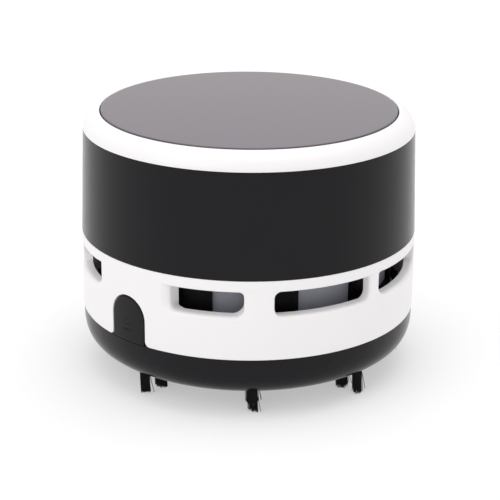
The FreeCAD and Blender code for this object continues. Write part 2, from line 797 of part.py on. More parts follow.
def body_sleeve():
    """Tapered tube with an inner ledge that carries the battery tray."""
    ledge_z = bay_floor_z - sleeve_ledge_t
    wall_at_ledge = sleeve_bottom_inner_r - sleeve_taper * (ledge_z - shell_top_z)
    wall_at_floor = sleeve_bottom_inner_r - sleeve_taper * (bay_floor_z - shell_top_z)
    ledge_r = wall_at_floor - sleeve_ledge_width
    return turned([
        (sleeve_bottom_inner_r, shell_top_z), (sleeve_bottom_r, shell_top_z),
        (sleeve_top_r, sleeve_top_z), (sleeve_top_inner_r, sleeve_top_z),
        (wall_at_floor, bay_floor_z), (ledge_r, bay_floor_z), (ledge_r, ledge_z), (wall_at_ledge, ledge_z),
    ])


# ---------------------------------------------------------------- exhaust cage, mesh and inlet plate
def exhaust_cage():
    top_z = flange_bottom_z
    low_ring = turned([
        (cage_ring_inner_r - cage_ledge_width, cage_bottom_z), (cage_r, cage_bottom_z),
        (cage_r, cage_bottom_z + cage_bottom_t), (cage_ring_inner_r, cage_bottom_z + cage_bottom_t),
        (cage_ring_inner_r, inlet_plate_z), (cage_ring_inner_r - cage_ledge_width, inlet_plate_z),
    ])
    high_ring = ring(cage_ring_inner_r, cage_r, top_z - cage_top_t, top_z)
    spigot = ring(cage_ring_inner_r, flange_inner_r - fit_gap, top_z - root, top_z + cage_spigot_height)
    parts = [low_ring, high_ring, spigot]
    half = 0.5 * cage_pillar_angle
    for i in range(cage_pillar_count):
        middle = cage_first_pillar + 360.0 * i / cage_pillar_count
        parts.append(sector(pillar_inner_r, cage_r, cage_bottom_z + root, top_z - root,
                            middle - half, middle + half))
    parts.append(sector(pillar_inner_r, cage_r, cage_bottom_z + root, top_z - root,
                        -cage_screen_angle, cage_screen_angle))
    return joined(parts)


def exhaust_mesh():
    return ring(mesh_inner_r, mesh_outer_r, cage_bottom_z + cage_bottom_t, flange_bottom_z - cage_top_t)


def fan_inlet_plate():
    return ring(inlet_hole_r, inlet_plate_r, inlet_plate_z, inlet_plate_z + inlet_plate_t)


# ---------------------------------------------------------------- fan and motor
def fan_blade():
    """One bowed blade, hanging from the back plate."""
    half = 0.5 * fan_blade_t
    root = fan_blade_root_r
    tip = fan_r - fan_blade_shy
    mid = 0.5 * (root + tip)
    z = blade_bottom_z
    inner = Part.Arc(Vector(root, -half, z), Vector(mid, fan_blade_bow - half, z), Vector(tip, -half, z))
    outer = Part.Arc(Vector(tip, half, z), Vector(mid, fan_blade_bow + half, z), Vector(root, half, z))
    tip_edge = Part.LineSegment(Vector(tip, -half, z), Vector(tip, half, z))
    root_edge = Part.LineSegment(Vector(root, half, z), Vector(root, -half, z))
    wire = Part.Wire([inner.toShape(), tip_edge.toShape(), outer.toShape(), root_edge.toShape()])
    return Part.Face(wire).extrude(Vector(0, 0, fan_blade_height + 0.5 * fan_plate_t))


def impeller():
    parts = [
        cylinder(fan_r, fan_plate_z, fan_top_z),
        cylinder(fan_hub_r, blade_bottom_z - fan_hub_drop, fan_top_z + fan_hub_rise),
    ]
    blade = fan_blade()
    for i in range(fan_blades):
        parts.append(at_angle(blade, 360.0 * i / fan_blades))
    return joined(parts).cut(cylinder(motor_shaft_r + shaft_running_gap, 0, shell_top_z))


def motor_shaft():
    low = blade_bottom_z - fan_hub_drop - shaft_tip_drop
    return cylinder(motor_shaft_r, low, motor_top_z - shaft_end_drop)


def motor_can():
    """Steel cup, open at the top, with a boss for the lower bushing."""
    bore = bushing_r + fit_gap
    can = turned([
        (bore, motor_z - motor_boss_height), (motor_boss_r, motor_z - motor_boss_height),
        (motor_boss_r, motor_z), (motor_r, motor_z), (motor_r, motor_top_z),
        (motor_r - motor_wall, motor_top_z), (motor_r - motor_wall, motor_z + motor_wall),
        (bore, motor_z + motor_wall),
    ])
    for side in (-1, 1):
        can = can.cut(cylinder(motor_screw_r + fit_gap, motor_z - over, motor_z + motor_wall + over,
                               0, side * motor_screw_orbit))
    return can


def bushing(z_low, z_high):
    return ring(motor_shaft_r + shaft_running_gap, bushing_r, z_low, z_high)


def bushing_lower():
    return bushing(motor_z - motor_boss_height, motor_z + motor_wall)


def bushing_upper():
    return bushing(motor_top_z - endcap_t, motor_top_z)


def motor_endcap():
    cap_r = motor_r - motor_wall - fit_gap
    cap = ring(bushing_r + fit_gap, cap_r, motor_top_z - endcap_t, motor_top_z)
    for side in (-1, 1):
        low, high = span(side, terminal_inner_x - fit_gap, terminal_inner_x + terminal_t + fit_gap)
        cap = cap.cut(block(low, high, -terminal_half_width - fit_gap, terminal_half_width + fit_gap,
                            motor_top_z - endcap_t - over, motor_top_z + over))
    return cap


def motor_magnets():
    """Two arc magnets, held against the inside of the can."""
    low = motor_z + motor_wall + magnet_lift
    half = 0.5 * magnet_angle
    inner = magnet_outer_r - magnet_t
    return group([
        sector(inner, magnet_outer_r, low, low + magnet_height, 90 - half, 90 + half),
        sector(inner, magnet_outer_r, low, low + magnet_height, 270 - half, 270 + half),
    ])


def motor_armature():
    """Three-pole iron core with its windings in the slots."""
    low = motor_z + motor_wall + armature_lift
    core = ring(motor_shaft_r + shaft_running_gap, armature_r, low, low + armature_height)
    slot = block(-0.5 * armature_slot, 0.5 * armature_slot, -armature_r - over, -armature_core_r,
                 low - over, low + armature_height + over)
    for i in range(3):
        core = core.cut(at_angle(slot, 120.0 * i))
    return core


def motor_commutator():
    low = motor_z + motor_wall + armature_lift + armature_height
    return ring(motor_shaft_r + shaft_running_gap, commutator_r, low, low + commutator_height)


def motor_terminals():
    """Two tabs that come up through the end cap and turn outwards."""
    tabs = []
    bottom = motor_top_z - endcap_t
    tail_z = motor_top_z + terminal_rise
    for side in (-1, 1):
        low, high = span(side, terminal_inner_x, terminal_inner_x + terminal_t)
        post = block(low, high, -terminal_half_width, terminal_half_width, bottom, tail_z + terminal_t)
        low, high = span(side, terminal_inner_x, terminal_outer_x)
        tail = block(low, high, -terminal_half_width, terminal_half_width, tail_z, tail_z + terminal_t)
        tabs.append(joined([post, tail]))
    return group(tabs)


def motor_screws():
    """Two countersunk screws, flush with the deck's underside."""
    screws = []
    head_h = motor_screw_head_r - motor_screw_r
    low = deck_floor_z + fit_gap
    for side in (-1, 1):
        y = side * motor_screw_orbit
        head = Part.makeCone(motor_screw_head_r, motor_screw_r, head_h, Vector(0, y, low))
        shank = cylinder(motor_screw_r, low, low + motor_screw_length, 0, y)
        screws.append(joined([head, shank]))
    return group(screws)


# ---------------------------------------------------------------- motor deck
def motor_deck():
    """Dish that carries the motor; its rim lies on the vent shell's flange."""
    hole_r = motor_boss_r + deck_boss_gap
    collar_in = motor_r + running_gap
    collar_out = collar_in + deck_collar_wall
    deck = turned([
        (hole_r, deck_floor_z), (deck_wall_outer_r, deck_floor_z), (deck_wall_outer_r, shell_top_z),
        (deck_rim_r, shell_top_z), (deck_rim_r, deck_rim_top_z), (deck_wall_inner_r, deck_rim_top_z),
        (deck_wall_inner_r, motor_z), (collar_out, motor_z), (collar_out, motor_z + deck_collar_height),
        (collar_in, motor_z + deck_collar_height), (collar_in, motor_z), (hole_r, motor_z),
    ])
    ear = block(-deck_ear_half_width, deck_ear_half_width, -deck_ear_r, -deck_rim_r + root,
                shell_top_z, deck_rim_top_z)
    parts = [deck] + [at_angle(ear, angle) for angle in housing_screw_angles]
    for angle in deck_post_angles:
        x, y = spot(deck_post_orbit, angle)
        parts.append(cylinder(deck_post_r, deck_rim_top_z - root, bay_floor_z, x, y))
    deck = joined(parts)
    for angle in deck_post_angles:
        x, y = spot(deck_post_orbit, angle)
        deck = deck.cut(cylinder(tray_screw_r + fit_gap, bay_z - tray_screw_length - running_gap,
                                 bay_floor_z + over, x, y))
    for angle in housing_screw_angles:
        x, y = spot(housing_boss_orbit, angle)
        deck = deck.cut(cylinder(housing_screw_r + fit_gap, shell_top_z - over, deck_rim_top_z + over, x, y))
    head_h = motor_screw_head_r - motor_screw_r
    for side in (-1, 1):
        y = side * motor_screw_orbit
        sink = Part.makeCone(motor_screw_head_r + 2 * fit_gap, motor_screw_r + 2 * fit_gap,
                             head_h, Vector(0, y, deck_floor_z + fit_gap))
        deck = deck.cut(sink)
        deck = deck.cut(cylinder(motor_screw_head_r + 2 * fit_gap, deck_floor_z - over,
                                 deck_floor_z + fit_gap, 0, y))
        deck = deck.cut(cylinder(motor_screw_r + fit_gap, deck_floor_z - over, motor_z + over, 0, y))
    return deck


def housing_screws():
    screws = []
    for angle in housing_screw_angles:
        x, y = spot(housing_boss_orbit, angle)
        screws.append(pan_screw(x, y, deck_rim_top_z, housing_screw_r, housing_screw_length,
                                housing_screw_head_r, housing_screw_head_h))
    return group(screws)


def tray_screws():
    screws = []
    for angle in deck_post_angles:
        x, y = spot(deck_post_orbit, angle)
        screws.append(pan_screw(x, y, bay_z, tray_screw_r, tray_screw_length,
                                tray_screw_head_r, tray_screw_head_h))
    return group(screws)


# ---------------------------------------------------------------- battery bay
def bay_floor_r():
    return sleeve_bottom_inner_r - sleeve_taper * (bay_z - shell_top_z) - bay_floor_gap


def battery_tray():
    side_y = bay_side_y
    end_x = bay_end_x
    wall_x = end_x + bay_end_wall
    parts = [cylinder(bay_floor_r(), bay_floor_z, bay_z)]
    for side in (-1, 1):
        low, high = span(side, end_x, wall_x)
        parts.append(block(low, high, -side_y, side_y, bay_z - root, bay_z + bay_end_height))
        low, high = span(side, side_y, side_y + bay_side_wall)
        parts.append(block(-wall_x, wall_x, low, high, bay_z - root, bay_z + bay_side_height))
        low, high = span(side, bay_inner_half_gap, bay_inner_half_gap + bay_inner_wall)
        for half in (-1, 1):
            left, right = span(half, bay_inner_start, bay_inner_end)
            parts.append(block(left, right, low, high, bay_z - root, bay_z + bay_inner_height))
        low, high = span(side, board_rib_x, board_rib_x + board_rib_t)
        rib_y = bay_inner_half_gap + root
        parts.append(block(low, high, -rib_y, rib_y, bay_z - root, board_z))
    tray = joined(parts).common(cylinder(bay_floor_r(), bay_floor_z, bay_z + bay_end_height))
    for side in (-1, 1):
        low, high = span(side, terminal_outer_x - over, motor_lead_x + lead_slot_half_width)
        tray = tray.cut(block(low, high, -lead_slot_half_width, lead_slot_half_width,
                              bay_floor_z - over, bay_z + running_gap))
    for angle in deck_post_angles:
        x, y = spot(deck_post_orbit, angle)
        tray = tray.cut(cylinder(tray_screw_r + fit_gap, bay_floor_z - over, bay_z + over, x, y))
    return tray


def battery(side):
    """Cell lying along X, with its positive nub towards -side."""
    tip_x = bay_end_x - contact_t - fit_gap
    nub_base = tip_x - cell_nub_length
    low = tip_x - cell_length
    y = side * cell_offset
    can = rod_x(cell_r, low, nub_base, y, cell_z)
    nub = rod_x(cell_nub_r, nub_base - root, tip_x, y, cell_z)
    cell = joined([can, nub])
    if side > 0:
        cell.rotate(Vector(0, y, cell_z), Vector(0, 0, 1), 180)
    return cell


def coil(side):
    """Contact spring between an end plate and a cell's negative end, on the cell's own axis."""
    room = bay_spring_length - 2 * fit_gap
    length = room - 2 * coil_wire_r
    helix = Part.makeHelix(length / coil_turns, length, coil_r)
    section = Part.Wire(Part.Circle(Vector(coil_r, 0, 0), Vector(0, 1, 0), coil_wire_r).toShape())
    spring = Part.Wire(helix).makePipeShell([section], True, True)
    spring.rotate(Vector(0, 0, 0), Vector(0, 1, 0), 90)
    start_x = -bay_end_x + contact_t + fit_gap + coil_wire_r
    spring.translate(Vector(start_x, -cell_offset, cell_z))
    if side > 0:
        spring.rotate(Vector(0, 0, cell_z), Vector(0, 0, 1), 180)
    return spring


def contact_springs():
    return group([coil(-1), coil(1)])


def contact_plate(x_low, x_high, y_low, y_high):
    low_z = bay_z + contact_lift
    return block(x_low, x_high, y_low, y_high, low_z, low_z + contact_height)


def contact_bridge():
    edge = bay_side_y - contact_margin
    return contact_plate(bay_end_x - contact_t, bay_end_x, -edge, edge)


def contact_plates():
    edge = bay_side_y - contact_margin
    x_low = -bay_end_x
    x_high = contact_t - bay_end_x
    return group([
        contact_plate(x_low, x_high, -edge, -contact_split),
        contact_plate(x_low, x_high, contact_split, edge),
    ])


def circuit_board():
    return block(-board_half_length, board_half_length, -board_half_width, board_half_width,
                 board_z, board_z + board_t)


def power_switch():
    half = switch_half_width
    well = plunger_half_width + fit_gap
    body = block(-half, half, -half, half, switch_z, switch_top_z)
    return body.cut(block(-well, well, -well, well, switch_z + switch_wall_below, switch_top_z + over))


def switch_plunger():
    half = plunger_half_width
    return block(-half, half, -half, half, plunger_top_z - plunger_length, plunger_top_z)


def motor_lead(side):
    """Lead from a motor tab, up through the battery tray, to the underside of the board."""
    z = motor_top_z + terminal_rise + 0.5 * terminal_t
    return tube_along([
        Vector(side * terminal_outer_x, 0, z),
        Vector(side * motor_lead_x, 0, z),
        Vector(side * motor_lead_x, 0, board_z),
    ], lead_r, lead_bend_r)


def battery_lead(side):
    """Lead from a contact plate along the middle channel and down to the board."""
    y = side * battery_lead_y
    z = switch_z + battery_lead_rise
    return tube_along([
        Vector(contact_t - bay_end_x, y, z),
        Vector(-battery_lead_x, y, z),
        Vector(-battery_lead_x, y, switch_z),
    ], lead_r, lead_bend_r)


# ---------------------------------------------------------------- top bezel and power button
def top_bezel():
    """Pull-off battery lid: rounded shoulder, sunk floor and a skirt inside the sleeve."""
    hole_r = button_boss_r + button_hole_gap
    shoulder = corner_curve(bezel_inner_r, sleeve_top_r, bezel_top_z, sleeve_top_z,
                            bezel_power, bezel_corner_points)
    skirt_z = sleeve_top_z - skirt_drop
    edges = [
        shoulder,
        line(bezel_inner_r, bezel_top_z, bezel_inner_r, bezel_recess_z),
        line(bezel_inner_r, bezel_recess_z, hole_r, bezel_recess_z),
        line(hole_r, bezel_recess_z, hole_r, bezel_floor_z),
        line(hole_r, bezel_floor_z, skirt_inner_r, bezel_floor_z),
        line(skirt_inner_r, bezel_floor_z, skirt_inner_r, skirt_z),
        line(skirt_inner_r, skirt_z, skirt_outer_r, skirt_z),
        line(skirt_outer_r, skirt_z, skirt_outer_r, sleeve_top_z),
        line(skirt_outer_r, sleeve_top_z, sleeve_top_r, sleeve_top_z),
    ]
    bezel = turned_edges(Part.__sortEdges__(edges))
    stem_hole_r = button_stem_r + button_hole_gap
    for angle in button_stem_angles:
        x, y = spot(button_stem_orbit, angle)
        bezel = bezel.cut(cylinder(stem_hole_r, bezel_floor_z - over, bezel_recess_z + over, x, y))
    return bezel


def power_button():
    """Disc with a middle boss over the switch and four hooked guide stems."""
    disc = cylinder(button_r, button_z, button_top_z)
    rim = [edge for edge in disc.Edges if abs(edge.BoundBox.ZMin - button_top_z) < small]
    parts = [
        disc.makeFillet(edge_round, rim),
        cylinder(button_boss_r, plunger_top_z + plunger_gap, button_z + 0.5 * button_t),
    ]
    hook_top = bezel_floor_z - seat_gap
    hook_low = hook_top - button_hook_h
    for angle in button_stem_angles:
        x, y = spot(button_stem_orbit, angle)
        parts.append(cylinder(button_stem_r, hook_low, button_z + 0.5 * button_t, x, y))
        parts.append(Part.makeCone(button_stem_r, button_hook_r, button_hook_h, Vector(x, y, hook_low)))
    return joined(parts)


# ---------------------------------------------------------------- all pieces
nodes = {
    "power_button": power_button,
    "top_bezel": top_bezel,
    "body_sleeve": body_sleeve,
    "vent_shell": vent_shell,
    "exhaust_cage": exhaust_cage,
    "exhaust_mesh": exhaust_mesh,
    "fan_inlet_plate": fan_inlet_plate,
    "impeller": impeller,
    "motor_shaft": motor_shaft,
    "motor_armature": motor_armature,
    "motor_commutator": motor_commutator,
    "motor_can": motor_can,
    "motor_magnets": motor_magnets,
    "motor_endcap": motor_endcap,
    "motor_terminals": motor_terminals,
    "bushing_lower": bushing_lower,
    "bushing_upper": bushing_upper,
    "motor_screws": motor_screws,
    "motor_deck": motor_deck,
    "housing_screws": housing_screws,
    "battery_tray": battery_tray,
    "tray_screws": tray_screws,
    "battery_front": lambda: battery(-1),
    "battery_rear": lambda: battery(1),
    "contact_springs": contact_springs,
    "contact_bridge": contact_bridge,
    "contact_plates": contact_plates,
    "circuit_board": circuit_board,
    "power_switch": power_switch,
    "switch_plunger": switch_plunger,
    "motor_lead_red": lambda: motor_lead(1),
    "motor_lead_black": lambda: motor_lead(-1),
    "battery_lead_red": lambda: battery_lead(1),
    "battery_lead_black": lambda: battery_lead(-1),
    "dust_tray": dust_tray,
    "intake_tube": intake_tube,
    "outer_bristles": lambda: tufts(outer_tuft_orbit, outer_tuft_r, outer_tuft_root),
    "inner_bristles": lambda: tufts(inner_tuft_orbit, inner_tuft_r, inner_tuft_root),
    "filter_frame": filter_frame,
    "filter_mesh": filter_mesh,
    "tray_seal": tray_seal,
    "release_latch": release_latch,
    "latch_pin": latch_pin,
    "latch_spring": latch_spring,
}

os.makedirs("parts", exist_ok=True)
for name, make in nodes.items():
    make().exportStep("parts/" + name + ".step")
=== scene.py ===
import math
import random

import bmesh
import bpy
from mathutils import Matrix, Vector
from mathutils.geometry import delaunay_2d_cdt


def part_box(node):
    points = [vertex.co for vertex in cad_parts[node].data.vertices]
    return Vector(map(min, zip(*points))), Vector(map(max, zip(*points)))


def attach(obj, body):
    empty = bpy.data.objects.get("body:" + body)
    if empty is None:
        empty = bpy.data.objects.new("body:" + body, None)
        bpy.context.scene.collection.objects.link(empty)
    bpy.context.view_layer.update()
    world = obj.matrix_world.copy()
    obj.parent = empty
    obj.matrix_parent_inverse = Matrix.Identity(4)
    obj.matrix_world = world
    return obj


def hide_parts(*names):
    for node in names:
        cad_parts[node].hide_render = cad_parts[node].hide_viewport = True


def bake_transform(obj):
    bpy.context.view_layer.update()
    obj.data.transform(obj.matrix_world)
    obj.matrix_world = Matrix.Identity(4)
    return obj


# Looks of a round desk vacuum cleaner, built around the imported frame.
# Lengths are in millimetres and become metres where vertices are made.
# Angles on the body are counted in degrees from the release latch on -Y, positive towards +X.

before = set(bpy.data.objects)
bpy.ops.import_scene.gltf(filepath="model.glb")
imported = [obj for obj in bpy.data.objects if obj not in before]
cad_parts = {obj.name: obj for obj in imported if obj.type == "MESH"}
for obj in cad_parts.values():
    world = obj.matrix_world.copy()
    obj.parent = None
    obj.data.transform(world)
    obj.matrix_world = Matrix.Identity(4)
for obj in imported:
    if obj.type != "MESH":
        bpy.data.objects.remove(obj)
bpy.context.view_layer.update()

MM = 0.001
SEGMENTS = 288                # round a whole turn
TINY = 1e-6


def low(node, axis):
    """Lower end of a part of the frame along an axis."""
    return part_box(node)[0]["xyz".index(axis)] / MM


def high(node, axis):
    """Upper end of a part of the frame along an axis."""
    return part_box(node)[1]["xyz".index(axis)] / MM


# ---------------------------------------------------------------- sizes read from the frame
body_r = high("vent_shell", "x")
shell_bottom_z = low("vent_shell", "z")
spigot_top_z = high("vent_shell", "z")
shell_top_z = low("body_sleeve", "z")
sleeve_bottom_r = high("body_sleeve", "x")
sleeve_top_z = high("body_sleeve", "z")
bezel_outer_r = high("top_bezel", "x")
bezel_top_z = high("top_bezel", "z")
skirt_bottom_z = low("top_bezel", "z")
button_r = high("power_button", "x")
button_top_z = high("power_button", "z")
button_boss_z = low("power_button", "z")
tray_r = high("dust_tray", "x")
tray_bottom_z = low("dust_tray", "z")
bay_floor_z = low("battery_tray", "z")
latch_half_width = high("release_latch", "x")

# ---------------------------------------------------------------- other sizes of the body
body_wall = 2.6
shell_inner_r = body_r - body_wall
flange_width = 3.8
flange_inner_r = shell_inner_r - flange_width
flange_t = 2.0
sleeve_wall = 1.9
spigot_gap = 0.2
spigot_wall = 1.5
parting_gap = 0.15
running_gap = 0.3
tray_rim_z = shell_bottom_z - parting_gap
edge_soft = 0.15              # rounding of moulded edges
window_edge_soft = 0.28
latch_edge_soft = 0.2


# ---------------------------------------------------------------- mesh helpers
def vertex(bm, x, y, z):
    return bm.verts.new((x * MM, y * MM, z * MM))


def face(bm, *corners):
    """Face through the corners, where neighbours may be the same vertex."""
    distinct = list(dict.fromkeys(corners))
    if len(distinct) > 2:
        bm.faces.new(distinct)


def around(items):
    """Neighbours in a closed row."""
    return zip(items, items[1:] + items[:1])


def strip(bm, near, far):
    """Faces between two open rows of vertices."""
    for i in range(len(near) - 1):
        face(bm, near[i], near[i + 1], far[i + 1], far[i])


def spot(orbit, degrees):
    """Point at an angle from the latch."""
    turn = math.radians(degrees)
    return orbit * math.sin(turn), -orbit * math.cos(turn)


def turned(bm, outline, centre=(0.0, 0.0), segments=SEGMENTS, start=0.0, end=360.0):
    """Turn a closed outline of (radius, height) points about an upright axis."""
    whole = end - start >= 360.0
    count = segments if whole else segments + 1
    columns = [spot(1.0, start + (end - start) * i / segments) for i in range(count)]
    rings = []
    for r, z in outline:
        if r < TINY:
            rings.append([vertex(bm, centre[0], centre[1], z)] * count)
        else:
            rings.append([vertex(bm, centre[0] + r * x, centre[1] + r * y, z) for x, y in columns])
    for near, far in around(rings):
        for i in range(segments):
            j = (i + 1) % count
            face(bm, near[i], near[j], far[j], far[i])
    if not whole:
        face(bm, *[ring[0] for ring in rings])
        face(bm, *[ring[-1] for ring in rings])


def softened(corners, steps=4):
    """Closed outline from (radius, height, rounding) corners, with its corners rounded off."""
    outline = []
    count = len(corners)
    for i, (r, z, soft) in enumerate(corners):
        here = Vector((r, z))
        if soft == 0:
            outline.append(here)
            continue
        back = Vector(corners[i - 1][:2]) - here
        on = Vector(corners[(i + 1) % count][:2]) - here
        back_room = back.length
        on_room = on.length
        back.normalize()
        on.normalize()
        # Where there is room, a point beyond each end of the rounding keeps the flat shaded flat.
        if back_room > 4 * soft:
            outline.append(here + back * 2 * soft)
        for k in range(steps + 1):
            t = k / steps
            outline.append(here + back * soft * (1 - t) ** 2 + on * soft * t ** 2)
        if on_room > 4 * soft:
            outline.append(here + on * 2 * soft)
    return [tuple(point) for point in outline]


def corner_curve(r_flat, r_wide, z_flat, z_wide, power, count):
    """Rounded corner from an upright wall at r_wide to a flat at z_flat."""
    points = []
    for i in range(count + 1):
        turn = math.radians(90.0 * i / count)
        across = max(math.cos(turn), 0.0) ** power
        along = math.sin(turn) ** power
        points.append((r_flat + (r_wide - r_flat) * across, z_wide + (z_flat - z_wide) * along))
    return points


def piece(name, bm, body, material, slot, stands_for=(), sharp=38.0):
    """Object from a mesh in the making: smooth, but for edges sharper than an angle.
    It rides its body where it has one."""
    bmesh.ops.recalc_face_normals(bm, faces=bm.faces)
    for each in bm.faces:
        each.smooth = True
    for edge in bm.edges:
        if len(edge.link_faces) == 2 and edge.calc_face_angle() > math.radians(sharp):
            edge.smooth = False
    mesh = bpy.data.meshes.new(name)
    bm.to_mesh(mesh)
    bm.free()
    mesh.materials.append(material)
    obj = bpy.data.objects.new(name, mesh)
    bpy.context.scene.collection.objects.link(obj)
    if body:
        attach(obj, body)
    if stands_for:
        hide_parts(*stands_for)
    return obj


# ---------------------------------------------------------------- materials
GLOSS_PATCHES = 5             # of gloss, across one patch of tone


def surface(name, colour, rough, shade=0.04, patch=60.0, rough_spread=0.06, grain=0.0,
            grain_size=0.3, **sockets):
    """Moulded or drawn surface: slow changes of tone and gloss, and a fine grain in its relief.
    patch is how many patches of tone fit in a metre, grain is the relief's depth and grain_size
    its width, both in millimetres."""
    mat = bpy.data.materials.new(name)
    mat.use_nodes = True
    tree = mat.node_tree
    nodes = tree.nodes
    shader = nodes["Principled BSDF"]
    for socket, value in sockets.items():
        shader.inputs[socket.replace("_", " ")].default_value = value
    place = nodes.new("ShaderNodeTexCoord").outputs["Object"]

    def noise(scale, detail):
        node = nodes.new("ShaderNodeTexNoise")
        node.inputs["Scale"].default_value = scale
        node.inputs["Detail"].default_value = detail
        tree.links.new(place, node.inputs["Vector"])
        return node.outputs["Fac"]

    tone = nodes.new("ShaderNodeMix")
    tone.data_type = "RGBA"
    tone.inputs["A"].default_value = [c * (1 - shade) for c in colour] + [1]
    tone.inputs["B"].default_value = [min(c * (1 + shade), 1.0) for c in colour] + [1]
    tree.links.new(noise(patch, 3), tone.inputs["Factor"])
    tree.links.new(tone.outputs["Result"], shader.inputs["Base Color"])
    gloss = nodes.new("ShaderNodeMapRange")
    gloss.inputs["To Min"].default_value = rough - rough_spread
    gloss.inputs["To Max"].default_value = rough + rough_spread
    tree.links.new(noise(patch * GLOSS_PATCHES, 4), gloss.inputs["Value"])
    tree.links.new(gloss.outputs["Result"], shader.inputs["Roughness"])
    if grain > 0:
        relief = nodes.new("ShaderNodeBump")
        relief.inputs["Strength"].default_value = 1.0
        relief.inputs["Distance"].default_value = grain * MM
        tree.links.new(noise(1.0 / (grain_size * MM), 3), relief.inputs["Height"])
        tree.links.new(relief.outputs["Normal"], shader.inputs["Normal"])
    return mat


black_gloss = surface("black_gloss", (0.08, 0.057, 0.079), 0.06, rough_spread=0.02, patch=25,
                      IOR=1.56)
white_plastic = surface("white_plastic", (0.87, 0.85, 0.855), 0.32, shade=0.008, grain=0.002,
                        grain_size=0.5)
black_satin = surface("black_satin", (0.0072, 0.0062, 0.0078), 0.2, shade=0.1, grain=0.002,
                      Specular_IOR_Level=0.17)
black_inner = surface("black_inner", (0.003, 0.003, 0.0033), 0.5, shade=0.1, grain=0.004,
                      Specular_IOR_Level=0.08)
grey_mesh = surface("grey_mesh", (0.265, 0.27, 0.315), 0.5, shade=0.06, grain=0.02,
                    grain_size=0.35, patch=200)
grey_plastic = surface("grey_plastic", (0.25, 0.25, 0.26), 0.45, shade=0.04, grain=0.004)
steel = surface("steel", (0.62, 0.61, 0.6), 0.3, shade=0.05, patch=300, Metallic=1.0)
copper = surface("copper", (0.75, 0.35, 0.2), 0.3, shade=0.1, patch=400, Metallic=1.0)
bronze = surface("bronze", (0.55, 0.36, 0.16), 0.4, shade=0.1, patch=400, Metallic=1.0)
magnet = surface("magnet", (0.04, 0.04, 0.045), 0.6, shade=0.15, patch=400)
nylon = surface("nylon", (0.75, 0.73, 0.66), 0.4, shade=0.02)
screw_steel = surface("screw_steel", (0.35, 0.34, 0.33), 0.35, shade=0.1, patch=500, Metallic=1.0)
cell_sleeve = surface("cell_sleeve", (0.07, 0.13, 0.18), 0.25, shade=0.05)
contact_steel = surface("contact_steel", (0.66, 0.64, 0.6), 0.28, shade=0.05, patch=300,
                        Metallic=1.0)
board_green = surface("board_green", (0.02, 0.13, 0.06), 0.35, shade=0.1, patch=300)
switch_black = surface("switch_black", (0.02, 0.02, 0.022), 0.4, shade=0.1)
switch_white = surface("switch_white", (0.7, 0.7, 0.68), 0.4, shade=0.02)
lead_red = surface("lead_red", (0.5, 0.02, 0.015), 0.4, shade=0.05)
lead_black = surface("lead_black", (0.012, 0.012, 0.012), 0.45, shade=0.1)
bristle = surface("bristle", (0.003, 0.0028, 0.0033), 0.45, shade=0.3, patch=900,
                  Specular_IOR_Level=0.15)
filter_cloth = surface("filter_cloth", (0.72, 0.72, 0.7), 0.85, shade=0.05, patch=900, grain=0.05,
                       grain_size=0.2)
seal_rubber = surface("seal_rubber", (0.03, 0.03, 0.032), 0.7, shade=0.1, grain=0.01)

node_materials = {
    "exhaust_cage": black_inner, "exhaust_mesh": grey_mesh, "fan_inlet_plate": grey_plastic,
    "impeller": grey_plastic, "motor_shaft": steel, "motor_armature": copper,
    "motor_commutator": copper, "motor_can": steel, "motor_magnets": magnet,
    "motor_endcap": nylon, "motor_terminals": contact_steel, "bushing_lower": bronze,
    "bushing_upper": bronze, "motor_screws": screw_steel, "motor_deck": black_inner,
    "housing_screws": screw_steel, "battery_tray": black_inner, "tray_screws": screw_steel,
    "battery_front": cell_sleeve, "battery_rear": cell_sleeve, "contact_springs": contact_steel,
    "contact_bridge": contact_steel, "contact_plates": contact_steel,
    "circuit_board": board_green, "power_switch": switch_black, "switch_plunger": switch_white,
    "motor_lead_red": lead_red, "motor_lead_black": lead_black, "battery_lead_red": lead_red,
    "battery_lead_black": lead_black, "dust_tray": black_satin, "intake_tube": black_inner,
    "outer_bristles": bristle, "inner_bristles": bristle, "filter_frame": grey_plastic,
    "filter_mesh": filter_cloth, "tray_seal": seal_rubber, "release_latch": black_satin,
    "latch_pin": steel, "latch_spring": contact_steel, "power_button": black_gloss,
    "top_bezel": white_plastic, "body_sleeve": black_satin, "vent_shell": white_plastic,
}


def dress_frame():
    """Give every part of the frame its material."""
    for name, material in node_materials.items():
        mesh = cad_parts[name].data
        mesh.materials.clear()
        mesh.materials.append(material)


# ---------------------------------------------------------------- power button
button_t = 1.6
button_z = button_top_z - button_t
button_rim_soft = 0.3
button_foot_soft = 0.1
button_boss_r = 3.5
button_boss_soft = 0.2
button_stem_r = 1.6
button_stem_orbit = button_r - 4.05
button_stem_angles = (0, 90, 180, 270)
button_hook_r = 2.2
button_hook_soft = 0.1
button_hook_z = (60.8, 62.0)  # foot and widest level of a stem's hook


def power_button():
    bm = bmesh.new()
    turned(bm, softened([
        (0, button_z, 0), (button_r, button_z, button_foot_soft),
        (button_r, button_top_z, button_rim_soft), (0, button_top_z, 0),
    ]))
    root_z = button_z + 0.5 * button_t
    turned(bm, softened([
        (0, button_boss_z, 0), (button_boss_r, button_boss_z, button_boss_soft),
        (button_boss_r, root_z, 0), (0, root_z, 0),
    ]), segments=64)
    hook_low, hook_top = button_hook_z
    stem = softened([
        (0, hook_low, 0), (button_stem_r, hook_low, button_hook_soft),
        (button_hook_r, hook_top, button_hook_soft), (button_stem_r, hook_top, 0),
        (button_stem_r, root_z, 0), (0, root_z, 0),
    ])
    for angle in button_stem_angles:
        turned(bm, stem, centre=spot(button_stem_orbit, angle), segments=40)
    piece("button_disc", bm, "button", black_gloss, "black_gloss", ["power_button"])


